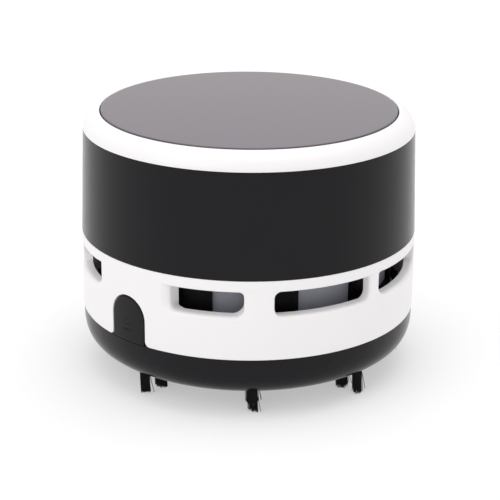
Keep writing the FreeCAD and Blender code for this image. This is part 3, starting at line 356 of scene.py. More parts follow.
# ---------------------------------------------------------------- top bezel
bezel_inner_r = bezel_outer_r - 4.25
bezel_floor_t = 1.6
bezel_floor_z = sleeve_top_z - 0.5
bezel_soft = 0.1
bezel_shoulder_power = 1.15
bezel_shoulder_steps = 28
bezel_foot_z = sleeve_top_z + 0.06        # lowest the shoulder comes, just over the sleeve
bezel_foot_inset = 0.1
# Points of the lip: out from the inner edge and down from the top.
bezel_lip = ((0.15, 0.0), (0.05, 0.03), (0.0, 0.12), (0.0, 0.4))
skirt_wall = 1.55
skirt_gap = 0.35
skirt_soft = 0.2


def top_bezel():
    hole_r = button_boss_r + running_gap
    recess_z = bezel_floor_z + bezel_floor_t
    skirt_r = bezel_outer_r - sleeve_wall - skirt_gap
    skirt_inner_r = skirt_r - skirt_wall
    shoulder = corner_curve(bezel_inner_r, bezel_outer_r, bezel_top_z, sleeve_top_z,
                            bezel_shoulder_power, bezel_shoulder_steps)
    outline = softened([
        (bezel_inner_r, recess_z, bezel_soft), (hole_r, recess_z, bezel_soft),
        (hole_r, bezel_floor_z, bezel_soft), (skirt_inner_r, bezel_floor_z, bezel_soft),
        (skirt_inner_r, skirt_bottom_z, skirt_soft), (skirt_r, skirt_bottom_z, skirt_soft),
        (skirt_r, sleeve_top_z, 0), (bezel_outer_r - bezel_foot_inset, sleeve_top_z, 0),
    ])
    outline += [(r, max(z, bezel_foot_z)) for r, z in shoulder[:-1]]
    outline += [(bezel_inner_r + out, bezel_top_z - down) for out, down in bezel_lip]
    bm = bmesh.new()
    turned(bm, outline)
    piece("bezel_ring", bm, "battery_lid", white_plastic, "white_plastic", ["top_bezel"])


# ---------------------------------------------------------------- body sleeve
sleeve_ledge_t = 1.2
sleeve_ledge_width = 1.5


def body_sleeve():
    bottom_inner = sleeve_bottom_r - sleeve_wall
    top_inner = bezel_outer_r - sleeve_wall
    taper = (bottom_inner - top_inner) / (sleeve_top_z - shell_top_z)
    ledge_z = bay_floor_z - sleeve_ledge_t
    wall_at_ledge = bottom_inner - taper * (ledge_z - shell_top_z)
    wall_at_floor = bottom_inner - taper * (bay_floor_z - shell_top_z)
    ledge_r = wall_at_floor - sleeve_ledge_width
    bm = bmesh.new()
    turned(bm, softened([
        (bottom_inner, shell_top_z, edge_soft), (sleeve_bottom_r, shell_top_z, edge_soft),
        (bezel_outer_r, sleeve_top_z, edge_soft), (top_inner, sleeve_top_z, edge_soft),
        (wall_at_floor, bay_floor_z, 0), (ledge_r, bay_floor_z, edge_soft),
        (ledge_r, ledge_z, edge_soft), (wall_at_ledge, ledge_z, 0),
    ]))
    piece("sleeve_wall", bm, "housing", black_satin, "black_satin", ["body_sleeve"])


# ---------------------------------------------------------------- vent windows
def mirrored(window, whole):
    """The same window on the other side of half an angle."""
    other = {name: tuple(whole - angle for angle in reversed(window[name]))
             for name in ("rim", "bore", "roll", "patch")}
    other.update({name: tuple(reversed(window[name])) for name in ("depth", "tops", "rib", "feet")})
    return other


# Each pair is for a window's left and right end, as seen from outside with the latch at the left.
# Angles: "rim" of the opening in the face, "bore" of its inner edge, "roll" of the surface that is
# rolled in beside it, "patch" of the stretch of wall that is meshed with it.
# Lengths: "depth" of the rolled-in surface, "tops" and "feet" the rounding of the upper corners
# and of the inner edge's lower corners, "rib" the extra thickness of the wall inside.
windows = [
    {"rim": (16.8, 42.0), "bore": (17.9, 42.0), "roll": (14.2, 46.3), "patch": (12.0, 48.5),
     "depth": (1.5, 0.25), "tops": (0.5, 1.4), "rib": (1.4, 0.0), "feet": (0.5, 3.1)},
    {"rim": (51.7, 87.5), "bore": (51.7, 87.3), "roll": (51.2, 90.0), "patch": (48.5, 90.0),
     "depth": (0.1, 0.8), "tops": (1.8, 1.4), "rib": (0.0, 0.0), "feet": (0.8, 2.1)},
]
windows += [mirrored(window, 180.0) for window in reversed(windows)]
notch_edge = windows[0]["patch"][0]
windows[-1]["patch"] = (windows[-1]["patch"][0], 180.0)

window_head_z = shell_top_z - 2.8
window_sill_z = window_head_z - 6.2
window_corner_r = 2.1
sill_roll = 0.8               # rolled-in surface below a sill
sill_depth = 0.75
sill_drop = 0.12              # of the rim at the face below the sill's inner edge
sill_power = 2.0              # how the surface below a sill curves in
side_power = 5.0              # the same beside a window
side_slope = 0.75             # share of the rolled-in depth beside a window that is reached evenly
rib_width = 2.5
patch_z = 23.4                # below the rolled-in surfaces
head_line_z = window_head_z + window_edge_soft

# Rows and columns of the wall's mesh.
side_rows = 34
head_rows = 7
low_rows = 14
window_columns = 56
head_columns = 44
notch_columns = 30
blend_rings = 14              # from a window's rim to the border of its patch
blend_power = 1.3
ROUND_STEPS = 4               # over a rounded edge

notch_side_gap = 0.25
notch_half_width = latch_half_width + notch_side_gap
notch_round_z = shell_bottom_z + 6.32     # where the straight sides end under the round top
notch_corner_r = 1.35


def rounding(soft):
    """Steps over a rounded edge: how far inside the face, and how deep below it."""
    steps = []
    for i in range(ROUND_STEPS + 1):
        turn = math.radians(90.0 * i / ROUND_STEPS)
        steps.append((soft * (1 - math.cos(turn)), soft * (1 - math.sin(turn))))
    return steps


def arc(x, z, r, start, end, steps=16):
    """Arc in the unrolled face, between two angles."""
    points = []
    for i in range(steps + 1):
        turn = math.radians(start + (end - start) * i / steps)
        points.append(Vector((x + r * math.cos(turn), z + r * math.sin(turn))))
    return points


def resampled(path, count):
    """Evenly spaced points along a path."""
    reached = [0.0]
    for a, b in zip(path, path[1:]):
        reached.append(reached[-1] + (b - a).length)
    points = []
    k = 0
    for i in range(count + 1):
        along = reached[-1] * i / count
        while k < len(path) - 2 and reached[k + 1] < along:
            k += 1
        part = (along - reached[k]) / max(reached[k + 1] - reached[k], TINY)
        points.append(path[k].lerp(path[k + 1], min(part, 1.0)))
    return points


def straight(start, end, count):
    """Evenly spaced steps from start to end."""
    return [start + (end - start) * i / count for i in range(count + 1)]


def to_arc(degrees):
    """Place of an angle along the unrolled face."""
    return math.radians(degrees) * body_r


def hollow(along, z):
    """Depth of the rolled-in surface at a point of the unrolled face.
    It goes by the distance from the rim, and share says how far the point lies beside the
    window (1) or below its sill (0)."""
    degrees = abs(math.degrees(along / body_r))
    degrees = min(degrees, 360.0 - degrees)
    window = next(each for each in windows if degrees <= each["patch"][1] + TINY)
    x = to_arc(degrees)
    rim = [to_arc(angle) for angle in window["rim"]]
    end = 0 if x < 0.5 * sum(rim) else 1
    past = rim[0] - x if end == 0 else x - rim[1]
    run = abs(to_arc(window["roll"][end]) - rim[end])
    depth = window["depth"][end]
    across = max(past + window_corner_r, 0.0)
    below = max(window_sill_z - sill_drop + window_corner_r - z, 0.0)
    away = math.hypot(across, below)
    share = 1.0 if below == 0 else (across / away) ** 2
    run = run * share + sill_roll * (1 - share)
    depth = depth * share + sill_depth * (1 - share)
    inward = min(max(1.0 - (away - window_corner_r) / run, 0.0), 1.0)
    if below == 0 and past < 0:
        depth *= max(1.0 + past / window["tops"][end], 0.0)
    slope = side_slope * share
    power = sill_power + (side_power - sill_power) * share
    return depth * (slope * inward + (1 - slope) * inward ** power)


class Skin:
    """Wall of the vent shell: vertices are shared by their place in the unrolled face."""

    def __init__(self, bm):
        self.bm = bm
        self.made = {}

    def at(self, layer, along, z, r):
        degrees = math.degrees(along / body_r) % 360.0
        key = (layer, round(degrees, 4) % 360.0, round(z, 4))
        if key not in self.made:
            x, y = spot(r, degrees)
            self.made[key] = vertex(self.bm, x, y, z)
        return self.made[key]

    def face(self, point, drop=0.0):
        return self.at("face", point[0], point[1], body_r - drop)

    def rolled(self, point, drop=0.0):
        depth = hollow(*point)
        if depth < TINY:
            return self.face(point, drop)
        return self.at("rolled", point[0], point[1], body_r - depth - drop)

    def inner(self, point, thicker=0.0):
        return self.at("inner", point[0], point[1], shell_inner_r - thicker)

    def patch(self, rings, place):
        """Faces between rows of points of the unrolled face, on the surface that place gives."""
        for near, far in zip(rings, rings[1:]):
            strip(self.bm, [place(point) for point in near], [place(point) for point in far])

    def walls(self, columns, rows, place):
        """Patch on a straight grid."""
        self.patch([[(x, z) for x in columns] for z in rows], place)


def rib(window, point):
    """Extra thickness of the wall at a point of a window's inner edge."""
    left, right = [to_arc(angle) for angle in window["bore"]]
    at_left, at_right = window["rib"]
    at_left *= 1.0 - (point[0] - left) / rib_width
    at_right *= 1.0 - (right - point[0]) / rib_width
    return max(at_left, at_right, 0.0)


def window_path(window, ends, grow=0.0):
    """Window without its head, at its rim or its bore and made larger by a distance:
    from the head down one side, along the sill and up the other."""
    left, right = [to_arc(angle) for angle in window[ends]]
    sill = window_sill_z
    foot_left, foot_right = window["feet"]
    if ends == "rim":
        sill -= sill_drop
        foot_left = foot_right = window_corner_r
    top_left, top_right = window["tops"]
    down = arc(left + top_left, window_head_z - top_left, top_left + grow, 90.0, 180.0)
    down += arc(left + foot_left, sill + foot_left, foot_left + grow, 180.0, 225.0)
    along = arc(left + foot_left, sill + foot_left, foot_left + grow, 225.0, 270.0)
    along += arc(right - foot_right, sill + foot_right, foot_right + grow, 270.0, 315.0)
    up = arc(right - foot_right, sill + foot_right, foot_right + grow, 315.0, 360.0)
    up += arc(right - top_right, window_head_z - top_right, top_right + grow, 0.0, 90.0)
    sill_points = resampled(along, window_columns)[:-1]
    return resampled(down, side_rows)[:-1] + sill_points + resampled(up, side_rows)


def head_path(path, count):
    """Points along a window's head, back from the end of its path to the start."""
    return resampled([path[-1], path[0]], count)[1:-1]


def patch_path(left, right, bottom, top):
    """Border of a patch without its top, in step with the window's path."""
    points = [Vector((left, z)) for z in straight(top, bottom, side_rows)][:-1]
    points += [Vector((x, bottom)) for x in straight(left, right, window_columns)][:-1]
    return points + [Vector((right, z)) for z in straight(bottom, top, side_rows)]


def notch_path(grow, sides):
    """Lower edge of the shell with the latch's notch, moved into the shell by a distance."""
    foot = notch_half_width + notch_corner_r
    top_r = notch_half_width + grow
    left = [Vector((-to_arc(notch_edge), shell_bottom_z + grow))]
    left += arc(-foot, shell_bottom_z + notch_corner_r, notch_corner_r - grow, -90.0, 0.0)
    left += arc(0.0, notch_round_z, top_r, 180.0, 135.0)
    top = arc(0.0, notch_round_z, top_r, 135.0, 45.0)
    right = [Vector((-point.x, point.y)) for point in reversed(left)]
    top_points = resampled(top, notch_columns)[:-1]
    return resampled(left, sides)[:-1] + top_points + resampled(right, sides)


def notch_border(rows):
    """Border of the wall's stretch over the notch, in step with the notch's path."""
    edge = to_arc(notch_edge)
    points = [Vector((-edge, z)) for z in rows[:-1]]
    points += [Vector((x, rows[-1])) for x in straight(-edge, edge, notch_columns)][:-1]
    return points + [Vector((edge, z)) for z in reversed(rows)]


def between(near, far, part):
    """Row of points part of the way from one row to another."""
    return [a.lerp(b, part) for a, b in zip(near, far)]


def shell_wall(bm):
    """Whole wall with its windows and notch, as one closed skin."""
    skin = Skin(bm)
    flange_z = shell_top_z - flange_t
    rim = rounding(edge_soft)
    window_rim = rounding(window_edge_soft)
    parts = [(i / blend_rings) ** blend_power for i in range(blend_rings + 1)]
    top_patch_z = shell_top_z - edge_soft

    def crown(columns):
        """Rounded top edge, top face and flange above a stretch of the wall."""
        rows = []
        for inside, drop in reversed(rim):
            rows.append([skin.face((x, shell_top_z - inside), drop) for x in columns])
        for z in (shell_top_z, flange_z):
            rows.append([skin.at("flange", x, z, flange_inner_r) for x in columns])
        rows.append([skin.inner((x, flange_z)) for x in columns])
        for near, far in zip(rows, rows[1:]):
            strip(bm, near, far)

    def foot(columns):
        """Wall under a window's patch, its rounded lower edge and its inside."""
        rows = []
        for inside, drop in rim:
            rows.append([skin.face((x, shell_bottom_z + inside), drop) for x in columns])
        for near, far in zip(rows, rows[1:]):
            strip(bm, near, far)
        strip(bm, rows[0], [skin.inner((x, shell_bottom_z)) for x in columns])
        skin.walls(columns, straight(shell_bottom_z + edge_soft, patch_z, low_rows), skin.face)
        skin.walls(columns, straight(shell_bottom_z, patch_z, low_rows + head_rows), skin.inner)

    def window_wall(window):
        """Stretch with a window: the window's own wall, the face round it and the inside."""
        left, right = [to_arc(angle) for angle in window["patch"]]
        rings = []
        for inside, drop in window_rim:
            path = window_path(window, "rim", inside)
            head = head_path(path, head_columns)
            ring = [skin.rolled(point, drop) for point in path]
            rings.append(ring + [skin.face(point, drop) for point in head])
        bore = window_path(window, "bore")
        bore_head = head_path(bore, head_columns)
        rings.insert(0, [skin.inner(point, rib(window, point)) for point in bore + bore_head])
        for near, far in zip(rings, rings[1:]):
            strip(bm, near + near[:1], far + far[:1])

        path = window_path(window, "rim", window_edge_soft)
        border = patch_path(left, right, patch_z, head_line_z)
        skin.patch([between(path, border, part) for part in parts], skin.rolled)
        columns = [path[0].lerp(border[0], part).x for part in reversed(parts)]
        columns += [point.x for point in reversed(head_path(path, head_columns))]
        columns += [path[-1].lerp(border[-1], part).x for part in parts]
        # Thin step between the level face over the head and the surface rolled in beside it.
        strip(bm, [skin.face((x, head_line_z)) for x in columns],
              [skin.rolled((x, head_line_z)) for x in columns])
        skin.walls(columns, straight(head_line_z, top_patch_z, head_rows), skin.face)
        crown(columns)
        foot(straight(left, right, window_columns))

        # Inside: the top border has more columns than the head, so the bore's upper corners repeat.
        border = patch_path(left, right, patch_z, flange_z)
        top = [Vector((x, flange_z)) for x in columns[-2:0:-1]]
        outline = bore + bore[-1:] * blend_rings + bore_head + bore[:1] * blend_rings
        skin.patch([outline + outline[:1], border + top + border[:1]], skin.inner)

    def notch_wall():
        """Stretch over the notch: its face, rounded edge, inside and the notch's own wall."""
        rows = straight(shell_bottom_z + edge_soft, patch_z, low_rows)[:-1]
        rows += straight(patch_z, head_line_z, side_rows)[:-1]
        rows += straight(head_line_z, top_patch_z, head_rows)
        border = notch_border(rows)
        sides = len(rows) - 1
        path = notch_path(edge_soft, sides)
        blend = straight(0.0, 1.0, blend_rings)
        skin.patch([between(path, border, part) for part in blend], skin.face)
        rings = []
        for inside, drop in rim:
            rings.append([skin.face(point, drop) for point in notch_path(inside, sides)])
        for near, far in zip(rings, rings[1:]):
            strip(bm, near, far)
        rows = straight(shell_bottom_z, patch_z, low_rows + head_rows)[:-1]
        rows += straight(patch_z, flange_z, side_rows)
        path = notch_path(0.0, sides)
        skin.patch([path, notch_border(rows)], skin.inner)
        strip(bm, rings[0], [skin.inner(point) for point in path])
        edge = to_arc(notch_edge)
        crown(straight(-edge, edge, notch_columns))

    for window in windows:
        window_wall(window)
        window_wall(mirrored(window, 0.0))
    notch_wall()


# ---------------------------------------------------------------- vent shell
housing_boss_r = 1.7
housing_boss_hole_r = 0.9
housing_boss_drop = 4.6       # below the flange
housing_boss_root = 0.5       # into the flange
housing_boss_soft = 0.1
housing_boss_orbit = shell_inner_r - housing_boss_r + running_gap
housing_screw_angles = [47.0, 133.0, 227.0, 313.0]
spigot_slot = 4.15            # degrees, half of a slot in the spigot
spigot_soft = 0.3


def vent_shell():
    bm = bmesh.new()
    shell_wall(bm)
    spigot_r = sleeve_bottom_r - sleeve_wall - spigot_gap
    spigot = softened([
        (spigot_r - spigot_wall, shell_top_z, 0), (spigot_r, shell_top_z, 0),
        (spigot_r, spigot_top_z, spigot_soft), (spigot_r - spigot_wall, spigot_top_z, spigot_soft),
    ])
    round_again = housing_screw_angles[1:] + [housing_screw_angles[0] + 360.0]
    for start, end in zip(housing_screw_angles, round_again):
        turned(bm, spigot, start=start + spigot_slot, end=end - spigot_slot, segments=64)
    flange_z = shell_top_z - flange_t
    boss_z = flange_z - housing_boss_drop
    root_z = flange_z + housing_boss_root
    boss = softened([
        (housing_boss_hole_r, boss_z, 0), (housing_boss_r, boss_z, housing_boss_soft),
        (housing_boss_r, root_z, 0), (housing_boss_hole_r, root_z, 0),
    ])
    for angle in housing_screw_angles:
        turned(bm, boss, centre=spot(housing_boss_orbit, angle), segments=32)
    piece("vent_wall", bm, "housing", white_plastic, "white_plastic", ["vent_shell"])


# ---------------------------------------------------------------- release latch
latch_plate_t = 1.5
latch_round_z = shell_bottom_z + 6.2      # where the straight sides end under the round top
latch_arm_half_width = 2.6
latch_foot_z = tray_rim_z + 0.85
latch_block_top_z = tray_rim_z + 10.25
latch_block_bite = 0.3        # of the block into the plate
latch_arm_top_z = tray_rim_z + 14.2
latch_arm_r = (38.9, 40.05)   # inner and outer face of the arm
latch_pin_bore_r = 0.64
latch_pin_y = 3.1 - body_r
latch_pin_z = tray_rim_z + 2.05

latch_mark_depth = 0.1
latch_mark_soft = 0.05
latch_mark_half = 1.2
latch_bar_z = (18.75, 19.2)
latch_arrow_z = (20.35, 22.25)
arrow_side_shrink = 0.6       # along the foot, for a step inwards of 1
arrow_tip_shrink = 1.8

latch_steps = (48, 16, 24)    # over the round top, down a side and along the foot
latch_grid = (18, 20)         # columns and rows of points that hold the face to its curve
latch_grid_foot = 0.5
CDT_INSIDE = 1                # delaunay_2d_cdt keeps the triangles inside the outer loop
CDT_NEAR = 1e-5


def latch_outline(inside):
    """Face of the latch, shrunk by a distance: straight sides under a round top."""
    half = latch_half_width - inside
    top_steps, side_steps, foot_steps = latch_steps
    top = arc(0.0, latch_round_z, half, 0.0, 180.0, top_steps)
    bottom = shell_bottom_z + inside
    points = [Vector((-half, z)) for z in straight(latch_round_z, bottom, side_steps)][1:]
    points += [Vector((x, bottom)) for x in straight(-half, half, foot_steps)][1:]
    points += [Vector((half, z)) for z in straight(bottom, latch_round_z, side_steps)][1:-1]
    return top + points


def latch_marks(inside):
    """Plain arrow over a bar, shrunk by a distance."""
    half = latch_mark_half - inside
    low_z, top_z = latch_bar_z
    bar = [Vector((-half, low_z + inside)), Vector((half, low_z + inside)),
           Vector((half, top_z - inside)), Vector((-half, top_z - inside))]
    low_z, top_z = latch_arrow_z
    side = arrow_side_shrink * inside
    arrow = [Vector((-half + side, low_z + inside)), Vector((half - side, low_z + inside)),
             Vector((0.0, top_z - arrow_tip_shrink * inside))]
    return [bar, arrow]


def latch_arm(bm):
    """Block behind the plate with the pin's bore, and the arm above it."""
    back, front = [-r for r in latch_arm_r]
    plate = latch_plate_t - body_r - latch_block_bite
    corners = [
        (plate, latch_foot_z), (back, latch_foot_z), (back, latch_arm_top_z),
        (front, latch_arm_top_z), (front, latch_block_top_z), (plate, latch_block_top_z),
    ]
    outline = []
    for start, end in around([Vector(corner) for corner in corners]):
        outline += straight(start, end, max(int((end - start).length), 1))[:-1]
    pin = Vector((latch_pin_y, latch_pin_z))
    bore = [pin + (point - pin).normalized() * latch_pin_bore_r for point in outline]
    loops = []
    for path, side in ((outline, -1), (bore, -1), (bore, 1), (outline, 1)):
        loops.append([vertex(bm, side * latch_arm_half_width, point.x, point.y) for point in path])
    for near, far in around(loops):
        strip(bm, near + near[:1], far + far[:1])


def release_latch():
    """Plate with a soft edge and a sunk mark in its face, and the arm behind it."""
    bm = bmesh.new()
    latch_arm(bm)

    def place(point, r):
        x, y = spot(r, math.degrees(point[0] / body_r))
        return vertex(bm, x, y, point[1])

    rows = []
    for inside, drop in rounding(latch_edge_soft):
        rows.append([place(point, body_r - drop) for point in latch_outline(inside)])
    for near, far in zip(rows, rows[1:]):
        strip(bm, near + near[:1], far + far[:1])
    back = [place(point, body_r - latch_plate_t) for point in latch_outline(0.0)]
    strip(bm, rows[0] + rows[0][:1], back + back[:1])
    face(bm, *back)

    points = latch_outline(latch_edge_soft)
    loops = [list(range(len(points)))]
    sunk = set()
    for inside in (0.0, latch_mark_soft):
        for mark in latch_marks(inside):
            first = len(points)
            points += mark
            loops.append(list(range(first, len(points))))
            if inside > 0:
                sunk.update(loops[-1])
    edges = [pair for loop in loops for pair in around(loop)]
    room = latch_half_width - 2 * latch_edge_soft
    for x in straight(-room, room, latch_grid[0]):
        for z in straight(shell_bottom_z + latch_grid_foot, latch_round_z + room, latch_grid[1]):
            if z < latch_round_z or math.hypot(x, z - latch_round_z) < room:
                points.append(Vector((x, z)))
    flat, _, faces, sources, _, _ = delaunay_2d_cdt(points, edges, [], CDT_INSIDE, CDT_NEAR)
    made = []
    for point, source in zip(flat, sources):
        if source and source[0] < len(rows[-1]):
            made.append(rows[-1][source[0]])
        else:
            deep = latch_mark_depth if sunk.intersection(source) else 0.0
            made.append(place(point, body_r - deep))
    for corners in faces:
        face(bm, *[made[i] for i in corners])
    piece("latch_tab", bm, "latch", black_satin, "black_satin", ["release_latch"])


# ---------------------------------------------------------------- latch spring
leaf_t = 0.25
leaf_half_width = 2.0
leaf_bend_r = 0.5
leaf_lean = 0.25              # of the tip outwards, over the leaf's height
leaf_foot_inset = 0.05
leaf_steps = 40


def latch_spring():
    """Bent leaf: its foot lies on the tray's rim and its tip stands at the back of the latch."""
    foot_y = low("latch_spring", "y") + leaf_foot_inset
    tip_z = high("latch_spring", "z")
    foot_z = low("latch_spring", "z") + 0.5 * leaf_t
    back_y = high("latch_spring", "y") - 0.5 * leaf_t
    middle = [Vector((foot_y, foot_z))]
    middle += arc(back_y - leaf_bend_r, foot_z + leaf_bend_r, leaf_bend_r, -90.0, 0.0)
    middle.append(Vector((back_y - leaf_lean, tip_z)))
    middle = resampled(middle, leaf_steps)
    sides = []
    for i, point in enumerate(middle):
        along = (middle[min(i + 1, leaf_steps)] - middle[max(i - 1, 0)]).normalized()
        sides.append(Vector((-along.y, along.x)) * 0.5 * leaf_t)
    bm = bmesh.new()
    rows = []
    for x, way in ((-1, 1), (1, 1), (1, -1), (-1, -1)):
        rows.append([vertex(bm, x * leaf_half_width, *(point + side * way))
                     for point, side in zip(middle, sides)])
    for near, far in around(rows):
        strip(bm, near, far)
    for end in (0, -1):
        face(bm, *[row[end] for row in rows])
    leaf = piece("latch_leaf", bm, None, contact_steel, "contact_steel", ["latch_spring"])
    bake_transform(leaf)


# ---------------------------------------------------------------- cells
cell_r = 7.1
cell_length = 50.5
cell_nub_r = 2.75
cell_nub_length = 1.2
can_r = cell_r - 0.2
can_end = 0.3                 # between a can's wall and its end faces
can_end_r = 5.2
wrap_inner_r = cell_r - 0.12
wrap_ends = (0.1, 0.25)       # outside and inside of a wrap's turned-in ends
wrap_hole_r = (5.6, 5.8)      # at the flat end and at the nub's


def turned_along_x(bm, outline, start_x, way, y, z, segments=96):
    """Turn an outline of (distance, radius) points about a line along X."""
    rings = []
    for along, r in outline:
        x = start_x + way * along
        if r < TINY:
            rings.append([vertex(bm, x, y, z)] * segments)
            continue
        ring = []
        for i in range(segments):
            turn = 2 * math.pi * i / segments
            ring.append(vertex(bm, x, y + r * math.cos(turn), z + r * math.sin(turn)))
        rings.append(ring)
    for near, far in around(rings):
        strip(bm, near + near[:1], far + far[:1])


def cells():
    """Two cells, head to tail: steel cans with a nub, in plain shrunk sleeves."""
    shoulder = cell_length - cell_nub_length
    end, inside = wrap_ends
    flat_hole, nub_hole = wrap_hole_r
    wrap = softened([
        (end, flat_hole, 0), (end, cell_r, 0.35),
        (shoulder - end, cell_r, 0.4), (shoulder - end, nub_hole, 0),
        (shoulder - inside, nub_hole, 0), (shoulder - inside, wrap_inner_r, 0.3),
        (inside, wrap_inner_r, 0.3), (inside, flat_hole, 0),
    ])
    can = softened([
        (0, 0, 0), (0, can_end_r, 0.15), (can_end, can_end_r + 0.2, 0), (can_end, can_r, 0.3),
        (shoulder - can_end, can_r, 0.3), (shoulder - can_end, can_end_r, 0.1),
        (shoulder, can_end_r - 0.4, 0.1), (shoulder, cell_nub_r, 0.15),
        (cell_length, cell_nub_r, 0.3), (cell_length, 0, 0),
    ])
    nodes = ["battery_front", "battery_rear"]
    for name, outline, material, slot in (("cell_wraps", wrap, cell_sleeve, "cell_sleeve"),
                                          ("cell_cans", can, contact_steel, "contact_steel")):
        bm = bmesh.new()
        for node, way in zip(nodes, (1, -1)):
            middle = [0.5 * (low(node, axis) + high(node, axis)) for axis in "yz"]
            start_x = low(node, "x") if way > 0 else high(node, "x")
            turned_along_x(bm, outline, start_x, way, *middle)
        piece(name, bm, "housing", material, slot, nodes)


# ---------------------------------------------------------------- bristles
GOLDEN_TURN = 2.39996         # radians, spreads the roots evenly over a tuft
bristle_r = 0.11
bristle_size = (0.8, 1.15)    # of that radius
bristle_splay = (0.95, 1.18)  # of a tip's distance from the tuft's middle
bristle_bow = 0.08
bristle_end_z = 0.45          # about where the tips end
bristle_uneven = (-0.2, 0.25)
bristle_parts = (0.0, 0.4, 0.75, 1.0)
bristle_taper = 0.25
tuft_angles = [45.0 * i for i in range(8)]
lean_angle = 133.0            # the way the tufts lean
lean_spread = 40.0
lean_reach = (0.15, 0.6)
stray_r = 0.12
stray_counts = (1, 2)         # in a tuft
stray_spread = 50.0
stray_end_z = (0.3, 1.2)
stray_reach = (0.8, 1.6)
stray_bow = 0.1


def strand(bm, root, tip, r, bow):
    """One bristle: a thin four-sided rod that bows a little and ends cut across."""
    rings = []
    for part in bristle_parts:
        middle = root.lerp(tip, part) + bow * math.sin(math.pi * part)
        width = r * (1.0 - bristle_taper * part)
        rings.append([vertex(bm, middle.x + width * x, middle.y + width * y, middle.z)
                      for x, y in ((1, 0), (0, 1), (-1, 0), (0, -1))])
    for near, far in zip(rings, rings[1:]):
        strip(bm, near + near[:1], far + far[:1])
    face(bm, *rings[0])
    face(bm, *rings[-1])


def tufts(name, stands_for, orbit, r, root_z, count, seed):
    """Ring of tufts of single bristles, each tuft with its own lean and a few stray bristles."""
    draw = random.Random(seed)
    bm = bmesh.new()
    for angle in tuft_angles:
        x, y = spot(orbit, angle)
        reach = draw.uniform(*lean_reach)
        lean = Vector(spot(reach, lean_angle + draw.uniform(-lean_spread, lean_spread)) + (0.0,))
        slope = draw.uniform(0, 2 * math.pi)
        for i in range(count):
            turn = GOLDEN_TURN * i
            out = math.sqrt((i + 0.5) / count)
            way = Vector((math.cos(turn), math.sin(turn), 0))
            root = Vector((x, y, root_z)) + way * out * (r - bristle_r)
            splay = draw.uniform(*bristle_splay)
            ragged = bristle_end_z + bristle_end_z * math.cos(turn - slope) * out
            ragged += draw.uniform(*bristle_uneven)
            tip = Vector((x, y, max(ragged, 0.0))) + way * out * (r - bristle_r) * splay + lean
            bow = Vector([draw.uniform(-bristle_bow, bristle_bow) for _ in "xy"] + [0.0])
            strand(bm, root, tip, bristle_r * draw.uniform(*bristle_size), bow)
        for _ in range(draw.choice(stray_counts)):
            turn = lean_angle + draw.uniform(-stray_spread, stray_spread)
            way = Vector(spot(1.0, turn) + (0.0,))
            root = Vector((x, y, root_z)) + way * (r - 3 * bristle_r)
            end_z = draw.uniform(*stray_end_z)
            tip = Vector((x, y, end_z)) + way * (r + draw.uniform(*stray_reach))
            strand(bm, root, tip, stray_r, way * draw.uniform(-stray_bow, stray_bow))
    piece(name, bm, "tray", bristle, "bristle", [stands_for], sharp=80.0)


# ---------------------------------------------------------------- floor, light and camera
floor_half = 3.0              # metres, as all lengths of the lamps are
floor_colour = 0.97
floor_glow = 0.44             # share of plain white in what the floor shows
world_light = 0.79
lamp_aim = (0.0, 0.0, 0.03)
key_distance = 0.8
key_azimuth = -46.0           # from the camera's


def seen_rays(tree, share):
    """A share for rays that show the background, and none for rays that light the object."""
    path = tree.nodes.new("ShaderNodeLightPath")
    seen = path.outputs["Is Camera Ray"]
    for name in ("Is Glossy Ray", "Is Transmission Ray"):
        either = tree.nodes.new("ShaderNodeMath")
        either.operation = "MAXIMUM"
        tree.links.new(seen, either.inputs[0])
        tree.links.new(path.outputs[name], either.inputs[1])
        seen = either.outputs[0]
    scaled = tree.nodes.new("ShaderNodeMath")
    scaled.operation = "MULTIPLY"
    scaled.inputs[1].default_value = share
    tree.links.new(seen, scaled.inputs[0])
    return scaled.outputs[0]


def floor():
    """Plain white floor that keeps the object's shadow."""
    bm = bmesh.new()
    for x, y in ((-1, -1), (1, -1), (1, 1), (-1, 1)):
        bm.verts.new((x * floor_half, y * floor_half, 0.0))
    bm.faces.new(bm.verts)
    mesh = bpy.data.meshes.new("floor")
    bm.to_mesh(mesh)
    bm.free()
    mat = bpy.data.materials.new("floor_white")
    mat.use_nodes = True
    tree = mat.node_tree
    nodes = tree.nodes
    nodes.remove(nodes["Principled BSDF"])
    base = nodes.new("ShaderNodeBsdfDiffuse")
    base.inputs["Color"].default_value = (floor_colour, floor_colour, floor_colour, 1)
    glow = nodes.new("ShaderNodeEmission")
    both = nodes.new("ShaderNodeMixShader")
    tree.links.new(seen_rays(tree, floor_glow), both.inputs["Fac"])
    tree.links.new(base.outputs[0], both.inputs[1])
    tree.links.new(glow.outputs[0], both.inputs[2])
    tree.links.new(both.outputs[0], nodes["Material Output"].inputs["Surface"])
    mesh.materials.append(mat)
    obj = bpy.data.objects.new("floor", mesh)
    bpy.context.scene.collection.objects.link(obj)


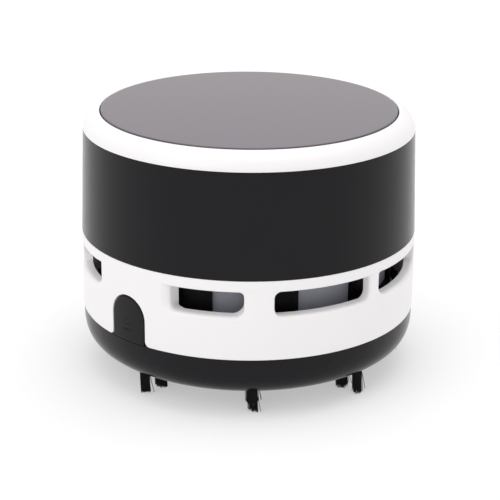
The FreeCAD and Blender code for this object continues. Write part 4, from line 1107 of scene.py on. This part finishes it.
def light():
    """White surroundings and two soft lamps."""
    scene = bpy.context.scene
    world = bpy.data.worlds.new("studio")
    scene.world = world
    world.use_nodes = True
    tree = world.node_tree
    nodes = tree.nodes
    back = nodes["Background"]
    back.inputs["Color"].default_value = (1, 1, 1, 1)
    strength = nodes.new("ShaderNodeMapRange")
    strength.inputs["To Min"].default_value = world_light
    strength.inputs["To Max"].default_value = 1.0
    tree.links.new(seen_rays(tree, 1.0), strength.inputs["Value"])
    tree.links.new(strength.outputs["Result"], back.inputs["Strength"])

    def lamp(name, place, size, power):
        data = bpy.data.lights.new(name, "AREA")
        data.shape = "SQUARE"
        data.size = size
        data.energy = power
        obj = bpy.data.objects.new(name, data)
        obj.location = place
        aim = Vector(lamp_aim) - Vector(place)
        obj.rotation_euler = aim.to_track_quat("-Z", "Y").to_euler()
        scene.collection.objects.link(obj)

    x, y = spot(key_distance, camera_azimuth + key_azimuth)
    lamp("key", place=(x, y, 0.6), size=0.7, power=1.4)
    lamp("top", place=(0.0, 0.1, 1.0), size=1.0, power=4.1)
    scene.view_settings.view_transform = "Standard"


# Lengths of the camera are in millimetres again.
camera_azimuth = 43.2         # degrees from the latch
camera_elevation = 19.93      # degrees
camera_distance = 426.3
camera_aim_z = 28.49
camera_side_shift = 0.455     # aim to the camera's right of the axis
camera_roll = 0.42            # degrees
camera_lens = 117.5


def camera():
    data = bpy.data.cameras.new("camera")
    data.lens = camera_lens
    obj = bpy.data.objects.new("camera", data)
    rise = math.radians(camera_elevation)
    x, y = spot(camera_distance * math.cos(rise), camera_azimuth)
    place = Vector((x, y, camera_aim_z + camera_distance * math.sin(rise)))
    right = Vector(spot(1.0, camera_azimuth + 90.0) + (0.0,))
    aim = Vector((0, 0, camera_aim_z)) + right * camera_side_shift
    look = (aim - place).to_track_quat("-Z", "Y").to_matrix().to_4x4()
    turn = Matrix.Rotation(math.radians(camera_roll), 4, "Z")
    obj.matrix_world = Matrix.Translation(place * MM) @ look @ turn
    bpy.context.scene.collection.objects.link(obj)
    bpy.context.scene.camera = obj


dress_frame()
power_button()
top_bezel()
body_sleeve()
vent_shell()
release_latch()
latch_spring()
cells()
tufts("outer_tufts", "outer_bristles", orbit=tray_r - 5.3, r=1.3, root_z=tray_bottom_z + 2.9,
      count=90, seed=11)
tufts("inner_tufts", "inner_bristles", orbit=tray_r - 10.5, r=1.6, root_z=tray_bottom_z + 2.35,
      count=130, seed=12)
floor()
light()
camera()
